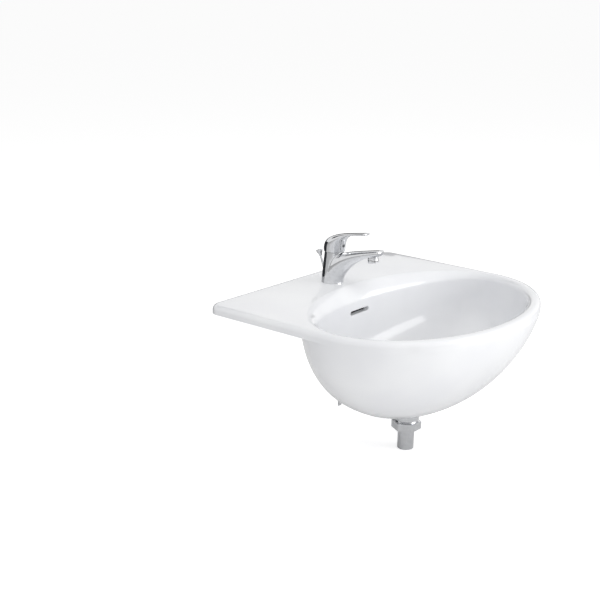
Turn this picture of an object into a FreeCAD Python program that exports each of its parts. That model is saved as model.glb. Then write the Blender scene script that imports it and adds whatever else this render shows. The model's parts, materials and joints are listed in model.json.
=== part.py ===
import FreeCAD, Part
import math
import os

# Semi recessed basin with a single-lever tap and a pop-up waste. Millimetres, +Z up.
# Origin: middle of the back edge, on the plane where the rim sits on a worktop.
# The front of the basin looks along -Y. "Reach" is a distance forward of the tap's handle axis.

# --- china: plan and rim ---------------------------------------------------------------------
basin_width = 560.0
ledge_depth = 112.0          # back edge to the dish, on the middle line
front_reach = 203.0          # where the straight sides end to the front of the rim
rim_height = 17.0
rim_round = 10.0
back_corner_radius = 25.0

# --- china: outside of the bowl below the rim ------------------------------------------------
bowl_drop = 191.0            # seat plane to the underside of the bowl
skirt_drop = 5.0             # the bowl leaves the rim straight down
belly_drop = 180.0
belly_side_inset = 9.0       # how far the belly's control line lies inside the rim
belly_front_inset = 41.0
belly_rear_inset = 7.0
foot_radius = 46.0
foot_flare_side = 23.0
foot_flare_front = 2.5
foot_flare_rear = 36.0

# --- china: inside of the bowl ---------------------------------------------------------------
rim_lip = 0.4                # the roll starts this much above the rim, so it meets it cleanly
side_roll_inset, side_roll_width, side_roll_drop = 15.0, 12.0, 13.4
front_roll_inset, front_roll_width, front_roll_drop = 14.0, 11.0, 12.4
dish_reach, dish_width, dish_drop = 168.0, 28.5, 26.9
side_fullness, front_fullness, dish_fullness = 2.0, 2.0, 1.4
dish_spread = 1.6            # how quickly the dish fades out towards the sides
wall_lines = (               # narrowing from the roll's foot, and height, of each control line
    (1.0, 1.0, 0.5, -50.0),
    (10.0, 10.0, 5.5, -100.0),
    (63.0, 48.0, 27.5, -112.0),
    (153.0, 116.0, 59.5, -132.0),
)
floor_drop = 140.0
china_wall = 12.0
hollow_drop = 95.0           # the space between the bowl and the outer skin starts here
boss_radius = 40.0
boss_height = 28.0
access_radius = 50.0

# --- overflow --------------------------------------------------------------------------------
overflow_width, overflow_height, overflow_drop = 58.0, 8.0, 30.0
duct_width, duct_depth, duct_wall = 36.0, 12.0, 10.0
duct_run_height, duct_floor_wall = 8.0, 8.0
duct_rise = 6.0              # above and beside the slot
duct_mouth_height, duct_taper = 26.0, 30.0

# --- waste -----------------------------------------------------------------------------------
waste_offset = 18.0          # behind the bowl's centre line
waste_hole_radius = 23.0
recess_depth = 3.0
flange_radius, flange_thickness = 32.0, 3.0
flange_clearance = 1.0
flange_tube_radius, flange_bore_radius = 20.9, 17.5
flange_tube_length = 48.0
plug_seat_radius, plug_seat_depth = 22.0, 2.0
flange_seal_thickness = 1.0
overflow_slot_width = 14.0
gasket_radius, gasket_thickness = 31.0, 4.0
slip_washer_radius, slip_washer_thickness = 30.0, 1.5
locknut_flats, locknut_height = 52.0, 8.0
thread_clearance = 0.1
tee_radius = 24.0
tee_top_gap = 2.0            # locknut to the top of the tee
tee_length = 50.0
tee_thread_radius, tee_thread_length = 21.0, 12.0
tail_radius, tail_bore_radius = 16.0, 14.5
tail_length = 46.0
tail_insertion = 9.0
tail_collar_radius, tail_collar_height = 19.5, 3.0
tail_nut_flats, tail_nut_height, tail_nut_lip = 50.0, 15.0, 2.0
tail_nut_clearance = 0.8     # its lip round the tailpiece
tail_seal_thickness = 2.0
tail_seal_radius = 19.5

# --- pop-up linkage --------------------------------------------------------------------------
port_drop = 22.0             # top of the tee to the pivot's axis
ball_reach = 24.0            # waste axis to the pivot ball
ball_radius = 7.0
ball_clearance = 0.05
ball_seat_gap = 3.5          # the ball's middle to the seat rings
ball_seat_lip = 1.5          # how far the seat rings stand in past the nut's opening
port_radius, port_bore_radius = 12.0, 8.0
port_length = 31.0           # waste axis to the port's end
inner_seat_thickness = 2.0
pivot_nut_flats, pivot_nut_cap = 27.0, 4.0
pivot_nut_skirt = 6.5
pivot_opening_radius = 6.0
pivot_rod_radius = 2.5
pivot_tip_length = 7.0       # past the plug's eye
pivot_tail_length = 16.0     # past the strap
lift_travel = 30.0
lift_lean = 20.0             # degrees; the rod leans back as it rises
lift_rod_radius = 2.0
lift_rod_offset = 13.5       # behind the tap hole's axis at deck level
lift_rod_bottom = 74.0       # below the seat plane
lift_guide_clearance = 0.25
knob_height, knob_band, knob_crown = 13.0, 1.8, 1.2
knob_top_radius, knob_neck_radius = 6.3, 2.9
knob_base_height = 47.0      # above the deck
knob_socket = 4.0
strap_head_width, strap_head_depth, strap_head_height = 12.0, 15.0, 14.0
strap_width, strap_thickness = 10.0, 2.0
strap_slot_width, strap_slot_height = 6.4, 13.0
strap_tail = 12.0
strap_screw_radius, strap_screw_head_radius = 2.0, 5.0
strap_screw_head = 5.0
clip_thickness, clip_gap = 0.8, 0.2
clip_height, clip_width = 20.0, 9.0

# --- plug ------------------------------------------------------------------------------------
plug_radius, plug_crown, plug_edge = 21.0, 3.0, 2.0
plug_seal_radius, plug_seal_bore, plug_seal_thickness = 19.5, 9.0, 1.0
plug_seal_gap = 0.2          # left under the seal when the plug is down
plug_stem_radius = 3.0
fin_thickness, fin_clearance, fin_height = 1.6, 0.5, 24.0
fin_start = 6.0
eye_width, eye_depth, eye_height, eye_radius = 11.0, 8.0, 15.0, 3.6

# --- tap -------------------------------------------------------------------------------------
tap_hole_offset = 73.0       # back edge to the tap hole
tap_hole_radius = 17.5
tap_recess_radius, tap_recess_depth = 30.0, 3.0  # under the ledge, for the fixings
tap_lean = 3.0               # the handle's axis stands this far in front of the hole
base_radius, neck_radius = 22.0, 19.0
body_height = 62.0
spout_top_line = ((-10.0, 30.0), (0.0, 50.0), (22.0, 62.0), (62.0, 72.0), (110.0, 82.0))
spout_under_line = ((18.0, 2.0), (24.0, 25.0), (55.0, 58.0), (108.0, 70.0))
spout_half_widths = (19.0, 21.0, 18.0, 13.5, 12.0)
spout_nose = 4.5
section_power = 2.6
waterway_radius = 4.5
waterway_start, waterway_end = (12.0, 43.0), (88.0, 70.5)
inlet_radius, inlet_spacing = 4.5, 19.0
inlet_offset = 3.0           # behind the tap hole's axis
base_seal_outer, base_seal_inner, base_seal_depth = 21.0, 18.6, 1.5
stud_radius, stud_offset, stud_depth = 4.0, 10.0, 14.0
shoe_radius, shoe_slot_width, shoe_rubber, shoe_steel = 24.0, 30.0, 3.0, 2.0
shoe_slot_start = 3.0
stud_clearance = 0.3
fixing_nut_flats, fixing_nut_height, stud_tail = 13.0, 10.0, 4.0

aerator_start = (92.0, 72.0)
aerator_tilt = 10.0
aerator_thread_radius, aerator_thread_length = 8.9, 6.5
aerator_radius, aerator_length = 10.5, 10.5
aerator_wall = 1.4
aerator_boss_wall = 1.9
aerator_seal_thickness = 1.5
aerator_insert_length, aerator_insert_recess = 9.0, 1.0
aerator_mesh_holes, aerator_hole_radius, aerator_hole_circle = 8, 1.2, 4.9

# --- cartridge and handle --------------------------------------------------------------------
cartridge_floor = 31.0       # above the deck
cartridge_radius, cartridge_clearance = 12.9, 0.2
cartridge_port_radius, cartridge_port_depth = 1.6, 8.0
cartridge_port_spread, cartridge_port_shift = 6.3, 2.0
cartridge_seal_radius, cartridge_seal_thickness = 2.6, 1.0
carrier_radius, carrier_clearance, carrier_height = 9.2, 0.1, 10.0
carrier_rise = 2.5           # the carrier stands this far out of the cartridge
carrier_slot_length, carrier_slot_width = 14.0, 8.3
pivot_drop = 5.0             # top of the body to the handle's pivot
stem_radius, stem_drop, stem_rise = 4.0, 4.8, 27.0
stem_pin_radius, pin_clearance = 1.5, 0.05
ring_nut_radius, ring_nut_bore, ring_nut_height, ring_nut_seat = 15.6, 10.0, 6.0, 4.0
ring_nut_notches, notch_width, notch_depth, notch_inset = 3, 3.0, 1.2, 1.0
dome_radius, dome_bore, dome_height, dome_lip = 18.6, 16.0, 3.2, 0.6
handle_gap = 1.5             # top of the body to the handle's lower edge
handle_bore_radius, handle_bore_height = 19.8, 10.0
handle_top_line = ((-20.8, 0.0), (-23.0, 33.5), (11.0, 35.0), (76.0, 46.5))
handle_under_line = ((21.5, 0.0), (27.0, 36.5), (33.0, 35.5), (76.0, 41.5))
handle_half_widths = (20.8, 21.5, 23.0, 6.0, 9.5)
handle_stagger = 1.4         # the under line's sections trail the top line's
handle_nose = 3.0
grub_height = 12.5           # above the handle's lower edge
grub_radius, grub_length, grub_key, grub_key_depth = 2.0, 10.0, 1.8, 1.0
grub_cap_radius, grub_cap_length, grub_cap_recess = 3.0, 4.4, 0.6

past = 1.0                   # how far a cut runs past the surface that it opens

# --- worked out from the sizes above ---------------------------------------------------------
V = FreeCAD.Vector
UP = V(0, 0, 1)
half_width = basin_width / 2
bowl_centre = ledge_depth + dish_reach  # back edge to the line where the straight sides end
centre_y = -bowl_centre
back_wall_reach = dish_reach - dish_width
outer_rear_reach = back_wall_reach + duct_wall + duct_depth + duct_wall
waste_y = centre_y + waste_offset
floor_z = -floor_drop
recess_radius = flange_radius + flange_clearance
flange_low = floor_z - recess_depth + flange_seal_thickness
flange_top = flange_low + flange_thickness
flange_end = flange_low - flange_tube_length
boss_bottom = floor_z - boss_height
gasket_bottom = boss_bottom - gasket_thickness
locknut_top = gasket_bottom - slip_washer_thickness
tee_top = locknut_top - locknut_height - tee_top_gap
port_z = tee_top - port_drop
ball_y = waste_y + ball_reach
port_end = waste_y + port_length
inner_seat_start = ball_y - ball_seat_gap - inner_seat_thickness
lean = math.radians(lift_lean)
tap_y = -tap_hole_offset
handle_y = tap_y - tap_lean
inlet_y = tap_y + inlet_offset
lift_axis = V(0, math.sin(lean), math.cos(lean))


def lift_y(z):
    """Where the lift rod's axis is at height z."""
    return tap_y + lift_rod_offset + (z - rim_height) * math.tan(lean)


strap_z = -lift_rod_bottom
strap_y = lift_y(strap_z) - strap_head_depth / 2 + strap_thickness / 2
arm_open = strap_y - ball_y
arm_closed = arm_open + lift_travel * math.sin(lean)
swing = math.atan(lift_travel * math.cos(lean) / (arm_open + arm_closed))
plug_lift = 2 * ball_reach * math.tan(swing)
eye_z = port_z + ball_reach * math.tan(swing)
plug_base = flange_top - plug_seat_depth + plug_seal_gap + plug_seal_thickness + plug_lift
body_top = rim_height + body_height
chamber_floor = rim_height + cartridge_floor
shoe_seam = tap_recess_depth - shoe_rubber
shoe_low = shoe_seam - shoe_steel
cartridge_low = chamber_floor + cartridge_seal_thickness
nut_seat = body_top - ring_nut_seat
carrier_low = nut_seat + carrier_rise - carrier_height
pivot_z = body_top - pivot_drop
handle_base = body_height + handle_gap
handle_low = rim_height + handle_base
aerator_end = aerator_thread_length + aerator_length
grub_z = handle_low + grub_height


# --- small helpers ---------------------------------------------------------------------------
def disc(x, y, low, high, radius):
    return Part.makeCylinder(radius, high - low, V(x, y, low))


def tube(x, y, low, high, outer, inner):
    return disc(x, y, low, high, outer).cut(disc(x, y, low - past, high + past, inner))


def along_y(x, start, end, z, radius):
    return Part.makeCylinder(radius, end - start, V(x, start, z), V(0, 1, 0))


def block(x, y, z):
    """A box from three (low, high) pairs."""
    return Part.makeBox(x[1] - x[0], y[1] - y[0], z[1] - z[0], V(x[0], y[0], z[0]))


def hexagon(x, y, low, high, flats, turn=0.0):
    corner = flats / math.sqrt(3)
    angles = [math.radians(60 * i + turn) for i in range(7)]
    points = [V(x + corner * math.cos(a), y + corner * math.sin(a), low) for a in angles]
    return Part.Face(Part.makePolygon(points)).extrude(V(0, 0, high - low))


def bernstein(values, t):
    n = len(values) - 1
    return sum(math.comb(n, i) * (1 - t) ** (n - i) * t ** i * v for i, v in enumerate(values))


def curve_point(points, t):
    return tuple(bernstein([p[i] for p in points], t) for i in range(2))


def closed_curve(points):
    curve = Part.BSplineCurve()
    curve.interpolate(Points=points, PeriodicFlag=True)
    return Part.Wire(curve.toShape())


def solid_of(shape):
    """The one solid that a boolean result holds, with the faces that run on joined."""
    if len(shape.Solids) != 1:
        raise ValueError(f"one solid was expected, and there are {len(shape.Solids)}")
    return shape.Solids[0].removeSplitter()


# --- china -----------------------------------------------------------------------------------
QUARTERS = ((1, 0), (1, 1), (0, 1), (-1, 1), (-1, 0))


def half_skin(rows, side, sign):
    """Half of a bowl's skin. Each level is a half ellipse, and rows steer it from top to bottom."""
    corner = math.sqrt(0.5)
    poles = [
        [V(c * row[0], centre_y + sign * s * row[side], row[3]) for row in rows] for c, s in QUARTERS
    ]
    weights = [[w] * len(rows) for w in (1, corner, 1, corner, 1)]
    ends = [len(rows)] * 2
    surface = Part.BSplineSurface()
    surface.buildFromPolesMultsKnots(
        poles, [3, 2, 3], ends, [0, 0.5, 1], [0, 1], False, False, 2, len(rows) - 1, weights
    )
    return surface


def bowl_solid(rows):
    """Closed bowl from rows of (half width, front reach, rear reach, z)."""
    skins = [half_skin(rows, 1, -1), half_skin(rows, 2, 1)]
    caps = [Part.Face(Part.Wire([s.vIso(end).toShape() for s in skins])) for end in (0, 1)]
    shell = Part.Shell([s.toShape() for s in skins] + caps)
    shell.sewShape()
    solid = Part.Solid(shell)
    if solid.Volume < 0:
        solid.reverse()
    return solid, skins


def outer_rows():
    foot_front, foot_rear = foot_radius - waste_offset, foot_radius + waste_offset
    return [
        (half_width, front_reach, outer_rear_reach, 0.0),
        (half_width, front_reach, outer_rear_reach, -skirt_drop),
        (half_width - belly_side_inset, front_reach - belly_front_inset,
         outer_rear_reach - belly_rear_inset, -belly_drop),
        (foot_radius + foot_flare_side, foot_front + foot_flare_front,
         foot_rear + foot_flare_rear, -bowl_drop),
        (foot_radius, foot_front, foot_rear, -bowl_drop),
    ]


def roll_feet():
    """Half width, front reach and rear reach where the rolled edge ends and the wall begins."""
    side = half_width - side_roll_inset - side_roll_width
    front = front_reach - front_roll_inset - front_roll_width
    return side, front, back_wall_reach


def wall_rows():
    """Control rows of the bowl's inner wall and floor, each with its heights at side, front and rear."""
    side, front, rear = roll_feet()
    top = rim_height + rim_lip
    tops = (top - side_roll_drop, top - front_roll_drop, top - dish_drop)
    middle = [
        (side - s, front - f, rear - r, (z, z, z))
        for s, f, r, z in wall_lines
    ]
    last = (recess_radius, recess_radius - waste_offset, recess_radius + waste_offset, (floor_z,) * 3)
    return [(side, front, rear, tops)] + middle + [last]


def roll_at(u):
    """Reaches and heights of the rolled edge, from its top (u = 0) to the wall (u = 1)."""
    sine, cosine = math.sin(u * math.pi / 2), math.cos(u * math.pi / 2)
    side, front, rear = roll_feet()
    rolls = (
        (side + side_roll_width, side_roll_width, side_roll_drop, side_fullness),
        (front + front_roll_width, front_roll_width, front_roll_drop, front_fullness),
        (rear + dish_width, dish_width, dish_drop, dish_fullness),
    )
    reaches = [start - width * sine ** (2 / full) for start, width, _, full in rolls]
    top = rim_height + rim_lip
    heights = [top - drop * (1 - max(cosine, 0) ** (2 / full)) for _, _, drop, full in rolls]
    return reaches, heights


def wall_at(t):
    rows = wall_rows()
    reaches = [bernstein([row[i] for row in rows], t) for i in range(3)]
    heights = [bernstein([row[3][i] for row in rows], t) for i in range(3)]
    return reaches, heights


def bowl_ring(reaches, heights, count=48):
    """A closed line round the bowl through the given side, front and rear reaches."""
    points = []
    for i in range(count):
        angle = 2 * math.pi * i / count
        c, s = math.cos(angle), math.sin(angle)
        end = 1 if s < 0 else 2
        share = abs(s) ** dish_spread
        z = heights[0] * (1 - share) + heights[end] * share
        points.append(V(reaches[0] * c, centre_y + reaches[end] * s, z))
    return closed_curve(points)


def bowl_cavity():
    rolls = [roll_at(u) for u in (0.0, 0.2, 0.4, 0.6, 0.8, 1.0)]
    walls = [wall_at(t) for t in (0.08, 0.16, 0.25, 0.35, 0.45, 0.55, 0.65, 0.75, 0.87, 1.0)]
    return Part.makeLoft([bowl_ring(*level) for level in rolls + walls], True, False)


def rim_slab(front_edge):
    """The deck and rim: straight back and sides, rounded back corners, the bowl's own front."""
    r = back_corner_radius
    bend = r * (1 - math.sqrt(0.5))
    right = Part.LineSegment(V(half_width, centre_y, 0), V(half_width, -r, 0)).toShape()
    right_corner = Part.Arc(
        V(half_width, -r, 0), V(half_width - bend, -bend, 0), V(half_width - r, 0, 0)
    ).toShape()
    back = Part.LineSegment(V(half_width - r, 0, 0), V(r - half_width, 0, 0)).toShape()
    left_corner = Part.Arc(
        V(r - half_width, 0, 0), V(bend - half_width, -bend, 0), V(-half_width, -r, 0)
    ).toShape()
    left = Part.LineSegment(V(-half_width, -r, 0), V(-half_width, centre_y, 0)).toShape()
    plan = Part.Face(Part.Wire([front_edge, left, left_corner, back, right_corner, right]))
    slab = plan.extrude(V(0, 0, rim_height))
    top_edges = [e for e in slab.Edges if e.BoundBox.ZMin > rim_height / 2]
    return slab.makeFillet(rim_round, top_edges)


def duct_drop(front, bottom):
    """A funnel behind the back wall: wider than the slot at its top, as wide as the run at its foot."""
    wide, narrow = overflow_width / 2 + duct_rise, duct_width / 2
    top = -overflow_drop + overflow_height / 2 + duct_rise
    neck = top - duct_mouth_height
    corners = ((wide, top), (wide, neck), (narrow, neck - duct_taper), (narrow, bottom))
    right = [V(x, front, z) for x, z in corners]
    left = [V(-p.x, p.y, p.z) for p in reversed(right)]
    return Part.Face(Part.makePolygon(right + left + right[:1])).extrude(V(0, duct_depth, 0))


def duct_spaces():
    """The overflow's passage: slot, drop behind the back wall, and run under the floor."""
    front = centre_y + back_wall_reach + duct_wall
    back = front + duct_depth
    half = duct_width / 2
    bottom = boss_bottom + duct_floor_wall
    radius = overflow_height / 2
    reach = overflow_width / 2 - radius
    slot_y = (centre_y + back_wall_reach - duct_wall, front + past)
    z = -overflow_drop
    slot = block((-reach, reach), slot_y, (z - radius, z + radius))
    ends = [along_y(x, slot_y[0], slot_y[1], z, radius) for x in (-reach, reach)]
    run = block((-half, half), (waste_y, back), (bottom, bottom + duct_run_height))
    return slot.fuse(ends + [duct_drop(front, bottom), run])


def duct_casing():
    """China round the overflow's passage where the space under the bowl is open."""
    half = duct_width / 2 + duct_wall
    back = centre_y + outer_rear_reach
    front = centre_y + back_wall_reach
    leg = block((-half, half), (front - duct_wall, back + past), (boss_bottom, -hollow_drop + past))
    run = block((-half, half), (waste_y, back + past), (boss_bottom, floor_z + duct_wall))
    return leg.fuse(run)


def hollow():
    """The space between the inner bowl and the outer skin, open at the back."""
    open_back = tap_hole_offset
    rows = [
        (a - china_wall, f - china_wall, r + open_back, z + (china_wall if z < -skirt_drop else 0))
        for a, f, r, z in outer_rows()
    ]
    space = bowl_solid(rows)[0]
    lid = block(
        (-basin_width, basin_width), (-2 * basin_width, basin_width), (-hollow_drop, rim_height)
    )
    skin_rows = [
        (s + china_wall, f + china_wall, r + china_wall, min(heights) - china_wall)
        for s, f, r, heights in wall_rows()
    ]
    boss = disc(0, waste_y, boss_bottom, floor_z, boss_radius)
    return space.cut([lid, bowl_solid(skin_rows)[0], duct_casing(), boss])


def basin_body():
    bowl, skins = bowl_solid(outer_rows())
    body = rim_slab(skins[0].vIso(0).toShape()).fuse(bowl)
    recess = disc(0, waste_y, floor_z - recess_depth, floor_z + past, recess_radius)
    waste_hole = disc(0, waste_y, -bowl_drop - past, floor_z + past, waste_hole_radius)
    access = disc(0, waste_y, -bowl_drop - past, -bowl_drop + china_wall, access_radius)
    tap_hole = disc(0, tap_y, -past, rim_height + past, tap_hole_radius)
    tap_recess = disc(0, tap_y, -past, tap_recess_depth, tap_recess_radius)
    body = body.cut(bowl_cavity())
    body = body.cut(hollow())
    return solid_of(body.cut([recess, waste_hole, access, tap_hole, tap_recess, duct_spaces()]))


# --- tap body --------------------------------------------------------------------------------
def tap_point(reach, height):
    return V(0, handle_y - reach, rim_height + height)


def oval_section(top, under, width, power):
    """Closed curve through a top and an under point of the side view, width to each side."""
    middle = (tap_point(*top) + tap_point(*under)) / 2
    half = (tap_point(*top) - tap_point(*under)) / 2
    points = []
    for i in range(32):
        angle = 2 * math.pi * i / 32
        c, s = math.cos(angle), math.sin(angle)
        x = width * math.copysign(abs(c) ** (2 / power), c)
        points.append(V(x, 0, 0) + middle + half * math.copysign(abs(s) ** (2 / power), s))
    return closed_curve(points)


def horn(top_line, under_line, widths, nose, stagger, powers, steps=9):
    """A limb that narrows from a round root to a rounded tip along two side-view lines."""
    sections = []
    for i in range(steps):
        t = i / (steps - 1)
        trail = t - stagger * t ** 3 * (1 - t)
        power = powers[0] + (powers[1] - powers[0]) * t
        ends = curve_point(top_line, t), curve_point(under_line, trail)
        sections.append((*ends, bernstein(widths, t), power))
    top, under, width, power = sections[-1]
    middle = ((top[0] + under[0]) / 2, (top[1] + under[1]) / 2)
    half = ((top[0] - under[0]) / 2, (top[1] - under[1]) / 2)
    size = math.hypot(*half)
    ahead = (half[1] / size * nose, -half[0] / size * nose)
    for degrees in (30, 55, 75):
        s, c = math.sin(math.radians(degrees)), math.cos(math.radians(degrees))
        centre = (middle[0] + ahead[0] * s, middle[1] + ahead[1] * s)
        ends = [(centre[0] + k * half[0] * c, centre[1] + k * half[1] * c) for k in (1, -1)]
        sections.append((ends[0], ends[1], width * (0.35 + 0.65 * c), power))
    return Part.makeLoft([oval_section(*s) for s in sections], True, False)


def circle_wire(y, z, radius):
    return Part.Wire(Part.makeCircle(radius, V(0, y, z)))


def aerator_axis():
    tilt = math.radians(aerator_tilt)
    return V(0, -math.sin(tilt), -math.cos(tilt))


def aerator_cylinder(start, end, radius):
    """A cylinder on the aerator's axis between two distances from its top."""
    axis = aerator_axis()
    return Part.makeCylinder(radius, end - start, tap_point(*aerator_start) + axis * start, axis)


def lift_cylinder(low, high, radius):
    """A cylinder on the lift rod's axis between two heights."""
    length = (high - low) / math.cos(lean)
    return Part.makeCylinder(radius, length, V(0, lift_y(low), low), lift_axis)


def tap_body():
    column = Part.makeLoft(
        [circle_wire(tap_y, rim_height, base_radius), circle_wire(handle_y, body_top, neck_radius)], True
    )
    spout = horn(
        spout_top_line, spout_under_line, spout_half_widths, spout_nose, 0.0, (2.0, section_power)
    )
    boss = aerator_cylinder(0, aerator_thread_length, aerator_thread_radius + aerator_boss_wall)
    body = column.fuse([spout, boss])
    start, end = tap_point(*waterway_start), tap_point(*waterway_end)
    waterway = Part.makeCylinder(waterway_radius, (end - start).Length, start, end - start)
    cuts = [
        disc(0, handle_y, chamber_floor, body_top + past, cartridge_radius + cartridge_clearance),
        disc(0, handle_y, nut_seat, body_top + past, ring_nut_radius + cartridge_clearance),
        waterway,
        aerator_cylinder(
            -aerator_seal_thickness, aerator_thread_length + past, aerator_thread_radius + thread_clearance
        ),
        aerator_cylinder(aerator_thread_length, aerator_end, aerator_radius + cartridge_clearance),
        disc(0, tap_y, rim_height - past, rim_height + base_seal_depth, base_seal_outer).cut(
            disc(0, tap_y, rim_height - past, body_top, base_seal_inner)
        ),
        disc(0, tap_y - stud_offset, rim_height - past, rim_height + stud_depth, stud_radius),
        lift_cylinder(rim_height - past, body_top, lift_rod_radius + lift_guide_clearance),
    ]
    for x in (-inlet_spacing / 2, inlet_spacing / 2):
        cuts.append(disc(x, inlet_y, rim_height - past, chamber_floor, inlet_radius))
    return solid_of(body.cut(cuts))


def base_seal():
    return tube(0, tap_y, rim_height, rim_height + base_seal_depth, base_seal_outer, base_seal_inner)


def fixing_stud():
    low = shoe_low - fixing_nut_height - stud_tail
    return disc(0, tap_y - stud_offset, low, rim_height + stud_depth, stud_radius)


def horseshoe(low, high):
    """A washer round the stud, open at the back for the supply pipes and the lift rod."""
    half = shoe_slot_width / 2
    slot = block(
        (-half, half), (tap_y - shoe_slot_start, tap_y + 2 * shoe_radius), (low - past, high + past)
    )
    hole = disc(0, tap_y - stud_offset, low - past, high + past, stud_radius + stud_clearance)
    return disc(0, tap_y, low, high, shoe_radius).cut([slot, hole])


def fixing_nut():
    low = shoe_low - fixing_nut_height
    nut = hexagon(0, tap_y - stud_offset, low, shoe_low, fixing_nut_flats)
    return nut.cut(disc(0, tap_y - stud_offset, low - past, shoe_low + past, stud_radius))


# --- aerator ---------------------------------------------------------------------------------
def aerator_housing():
    thread = aerator_cylinder(0, aerator_thread_length, aerator_thread_radius)
    collar = aerator_cylinder(aerator_thread_length, aerator_end, aerator_radius)
    bore = aerator_cylinder(-past, aerator_end + past, aerator_thread_radius - aerator_wall)
    return solid_of(thread.fuse(collar).cut(bore))


def aerator_insert():
    """The flow straightener: a plug with one hole in the middle and a ring of holes round it."""
    end = aerator_end - aerator_insert_recess
    start = end - aerator_insert_length
    insert = aerator_cylinder(start, end, aerator_thread_radius - aerator_wall)
    middle = aerator_cylinder(start - past, end + past, aerator_hole_radius)
    holes = [middle]
    side = V(1, 0, 0)
    other = aerator_axis().cross(side)
    for i in range(aerator_mesh_holes):
        angle = 2 * math.pi * i / aerator_mesh_holes
        hole = middle.copy()
        hole.translate((side * math.cos(angle) + other * math.sin(angle)) * aerator_hole_circle)
        holes.append(hole)
    return solid_of(insert.cut(holes))


def aerator_seal():
    radius = aerator_thread_radius
    ring = aerator_cylinder(-aerator_seal_thickness, 0, radius)
    return ring.cut(aerator_cylinder(-aerator_seal_thickness - past, past, radius - 2 * aerator_wall))


# --- cartridge -------------------------------------------------------------------------------
def cartridge_ports():
    """Hot inlet, cold inlet and outlet, as places in plan."""
    side, front = handle_y + cartridge_port_shift, handle_y - cartridge_port_spread
    return ((-cartridge_port_spread, side), (cartridge_port_spread, side), (0, front))


def cartridge_body():
    cuts = [disc(0, handle_y, carrier_low, nut_seat + past, carrier_radius + carrier_clearance)]
    for x, y in cartridge_ports():
        low, high = cartridge_low - past, cartridge_low + cartridge_port_depth
        cuts.append(disc(x, y, low, high, cartridge_port_radius))
    return solid_of(disc(0, handle_y, cartridge_low, nut_seat, cartridge_radius).cut(cuts))


def cartridge_seals():
    rings = [
        tube(x, y, chamber_floor, cartridge_low, cartridge_seal_radius, cartridge_port_radius)
        for x, y in cartridge_ports()
    ]
    return Part.makeCompound(rings)


def across(length, radius):
    """A cylinder along the handle's tilting axis."""
    return Part.makeCylinder(radius, length, V(-length / 2, handle_y, pivot_z), V(1, 0, 0))


def carrier():
    half_slot, half_length = carrier_slot_width / 2, carrier_slot_length / 2
    high = carrier_low + carrier_height
    slot = block(
        (-half_slot, half_slot),
        (handle_y - half_length, handle_y + half_length),
        (carrier_low - past, high + past),
    )
    pin_hole = across(4 * carrier_radius, stem_pin_radius)
    return solid_of(disc(0, handle_y, carrier_low, high, carrier_radius).cut([slot, pin_hole]))


def stem_pin():
    return across(2 * math.sqrt(carrier_radius ** 2 - stem_pin_radius ** 2), stem_pin_radius)


def stem():
    rod = disc(0, handle_y, pivot_z - stem_drop, pivot_z + stem_rise, stem_radius)
    return solid_of(rod.cut(across(4 * stem_radius, stem_pin_radius + pin_clearance)))


def ring_nut():
    """The nut that holds the cartridge down, with notches for its key."""
    high = nut_seat + ring_nut_height
    ring = tube(0, handle_y, nut_seat, high, ring_nut_radius, ring_nut_bore)
    notch = block(
        (ring_nut_bore + notch_inset, ring_nut_radius + past),
        (-notch_width / 2, notch_width / 2),
        (high - notch_depth, high + past),
    )
    notch.translate(V(0, handle_y, 0))
    for i in range(ring_nut_notches):
        copy = notch.copy()
        copy.rotate(V(0, handle_y, 0), UP, 360 * (i + 0.25) / ring_nut_notches)
        ring = ring.cut(copy)
    return solid_of(ring)


def dome_ring():
    """The bright ring that closes the gap between the body and the handle."""
    dome = Part.makeCone(dome_radius, dome_bore + dome_lip, dome_height, V(0, handle_y, body_top))
    return solid_of(dome.cut(disc(0, handle_y, body_top - past, body_top + 2 * dome_height, dome_bore)))


# --- handle ----------------------------------------------------------------------------------
def raised(line, height):
    return tuple((reach, z + height) for reach, z in line)


def grub_line(start, end, radius):
    """A cylinder pointing forward in the handle between two reaches."""
    return along_y(0, handle_y - end, handle_y - start, grub_z, radius)


def front_face_reach():
    """How far forward the handle's front is at the grub screw's height."""
    line = handle_under_line
    t = next(i / 200 for i in range(200) if curve_point(line, i / 200)[1] >= grub_height)
    return curve_point(line, t)[0]


def handle():
    top_line = raised(handle_top_line, handle_base)
    under_line = raised(handle_under_line, handle_base)
    lever = horn(
        top_line, under_line, handle_half_widths, handle_nose, handle_stagger, (2.0, 2.6), steps=12
    )
    front = front_face_reach()
    cuts = [
        disc(0, handle_y, handle_low - past, handle_low + handle_bore_height, handle_bore_radius),
        disc(0, handle_y, handle_low, pivot_z + stem_rise, stem_radius),
        grub_line(0, front, grub_radius),
        grub_line(front - grub_cap_recess - grub_cap_length, front + grub_cap_length, grub_cap_radius),
    ]
    return solid_of(lever.cut(cuts))


def grub_screw():
    screw = grub_line(stem_radius, stem_radius + grub_length, grub_radius)
    end = handle_y - stem_radius - grub_length
    half = grub_key / 2
    key = block((-half, half), (end - past, end + grub_key_depth), (grub_z - half, grub_z + half))
    return solid_of(screw.cut(key))


def handle_plug():
    end = front_face_reach() - grub_cap_recess
    return grub_line(end - grub_cap_length, end, grub_cap_radius)


# --- lift rod --------------------------------------------------------------------------------
def lift_rod():
    low = strap_z - strap_head_height / 2
    return lift_cylinder(low, rim_height + knob_base_height + knob_socket, lift_rod_radius)


def lift_knob():
    low = rim_height + knob_base_height
    foot = V(0, lift_y(low), low)
    waist = knob_height - knob_band - knob_crown
    shoulder = foot + lift_axis * (knob_height - knob_crown)
    cone = Part.makeCone(knob_neck_radius, knob_top_radius, waist, foot, lift_axis)
    cap = Part.makeCylinder(knob_top_radius, knob_band, foot + lift_axis * waist, lift_axis)
    crown = Part.makeCone(knob_top_radius, knob_top_radius - knob_crown, knob_crown, shoulder, lift_axis)
    return solid_of(cone.fuse([cap, crown]).cut(lift_rod()))


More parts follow.
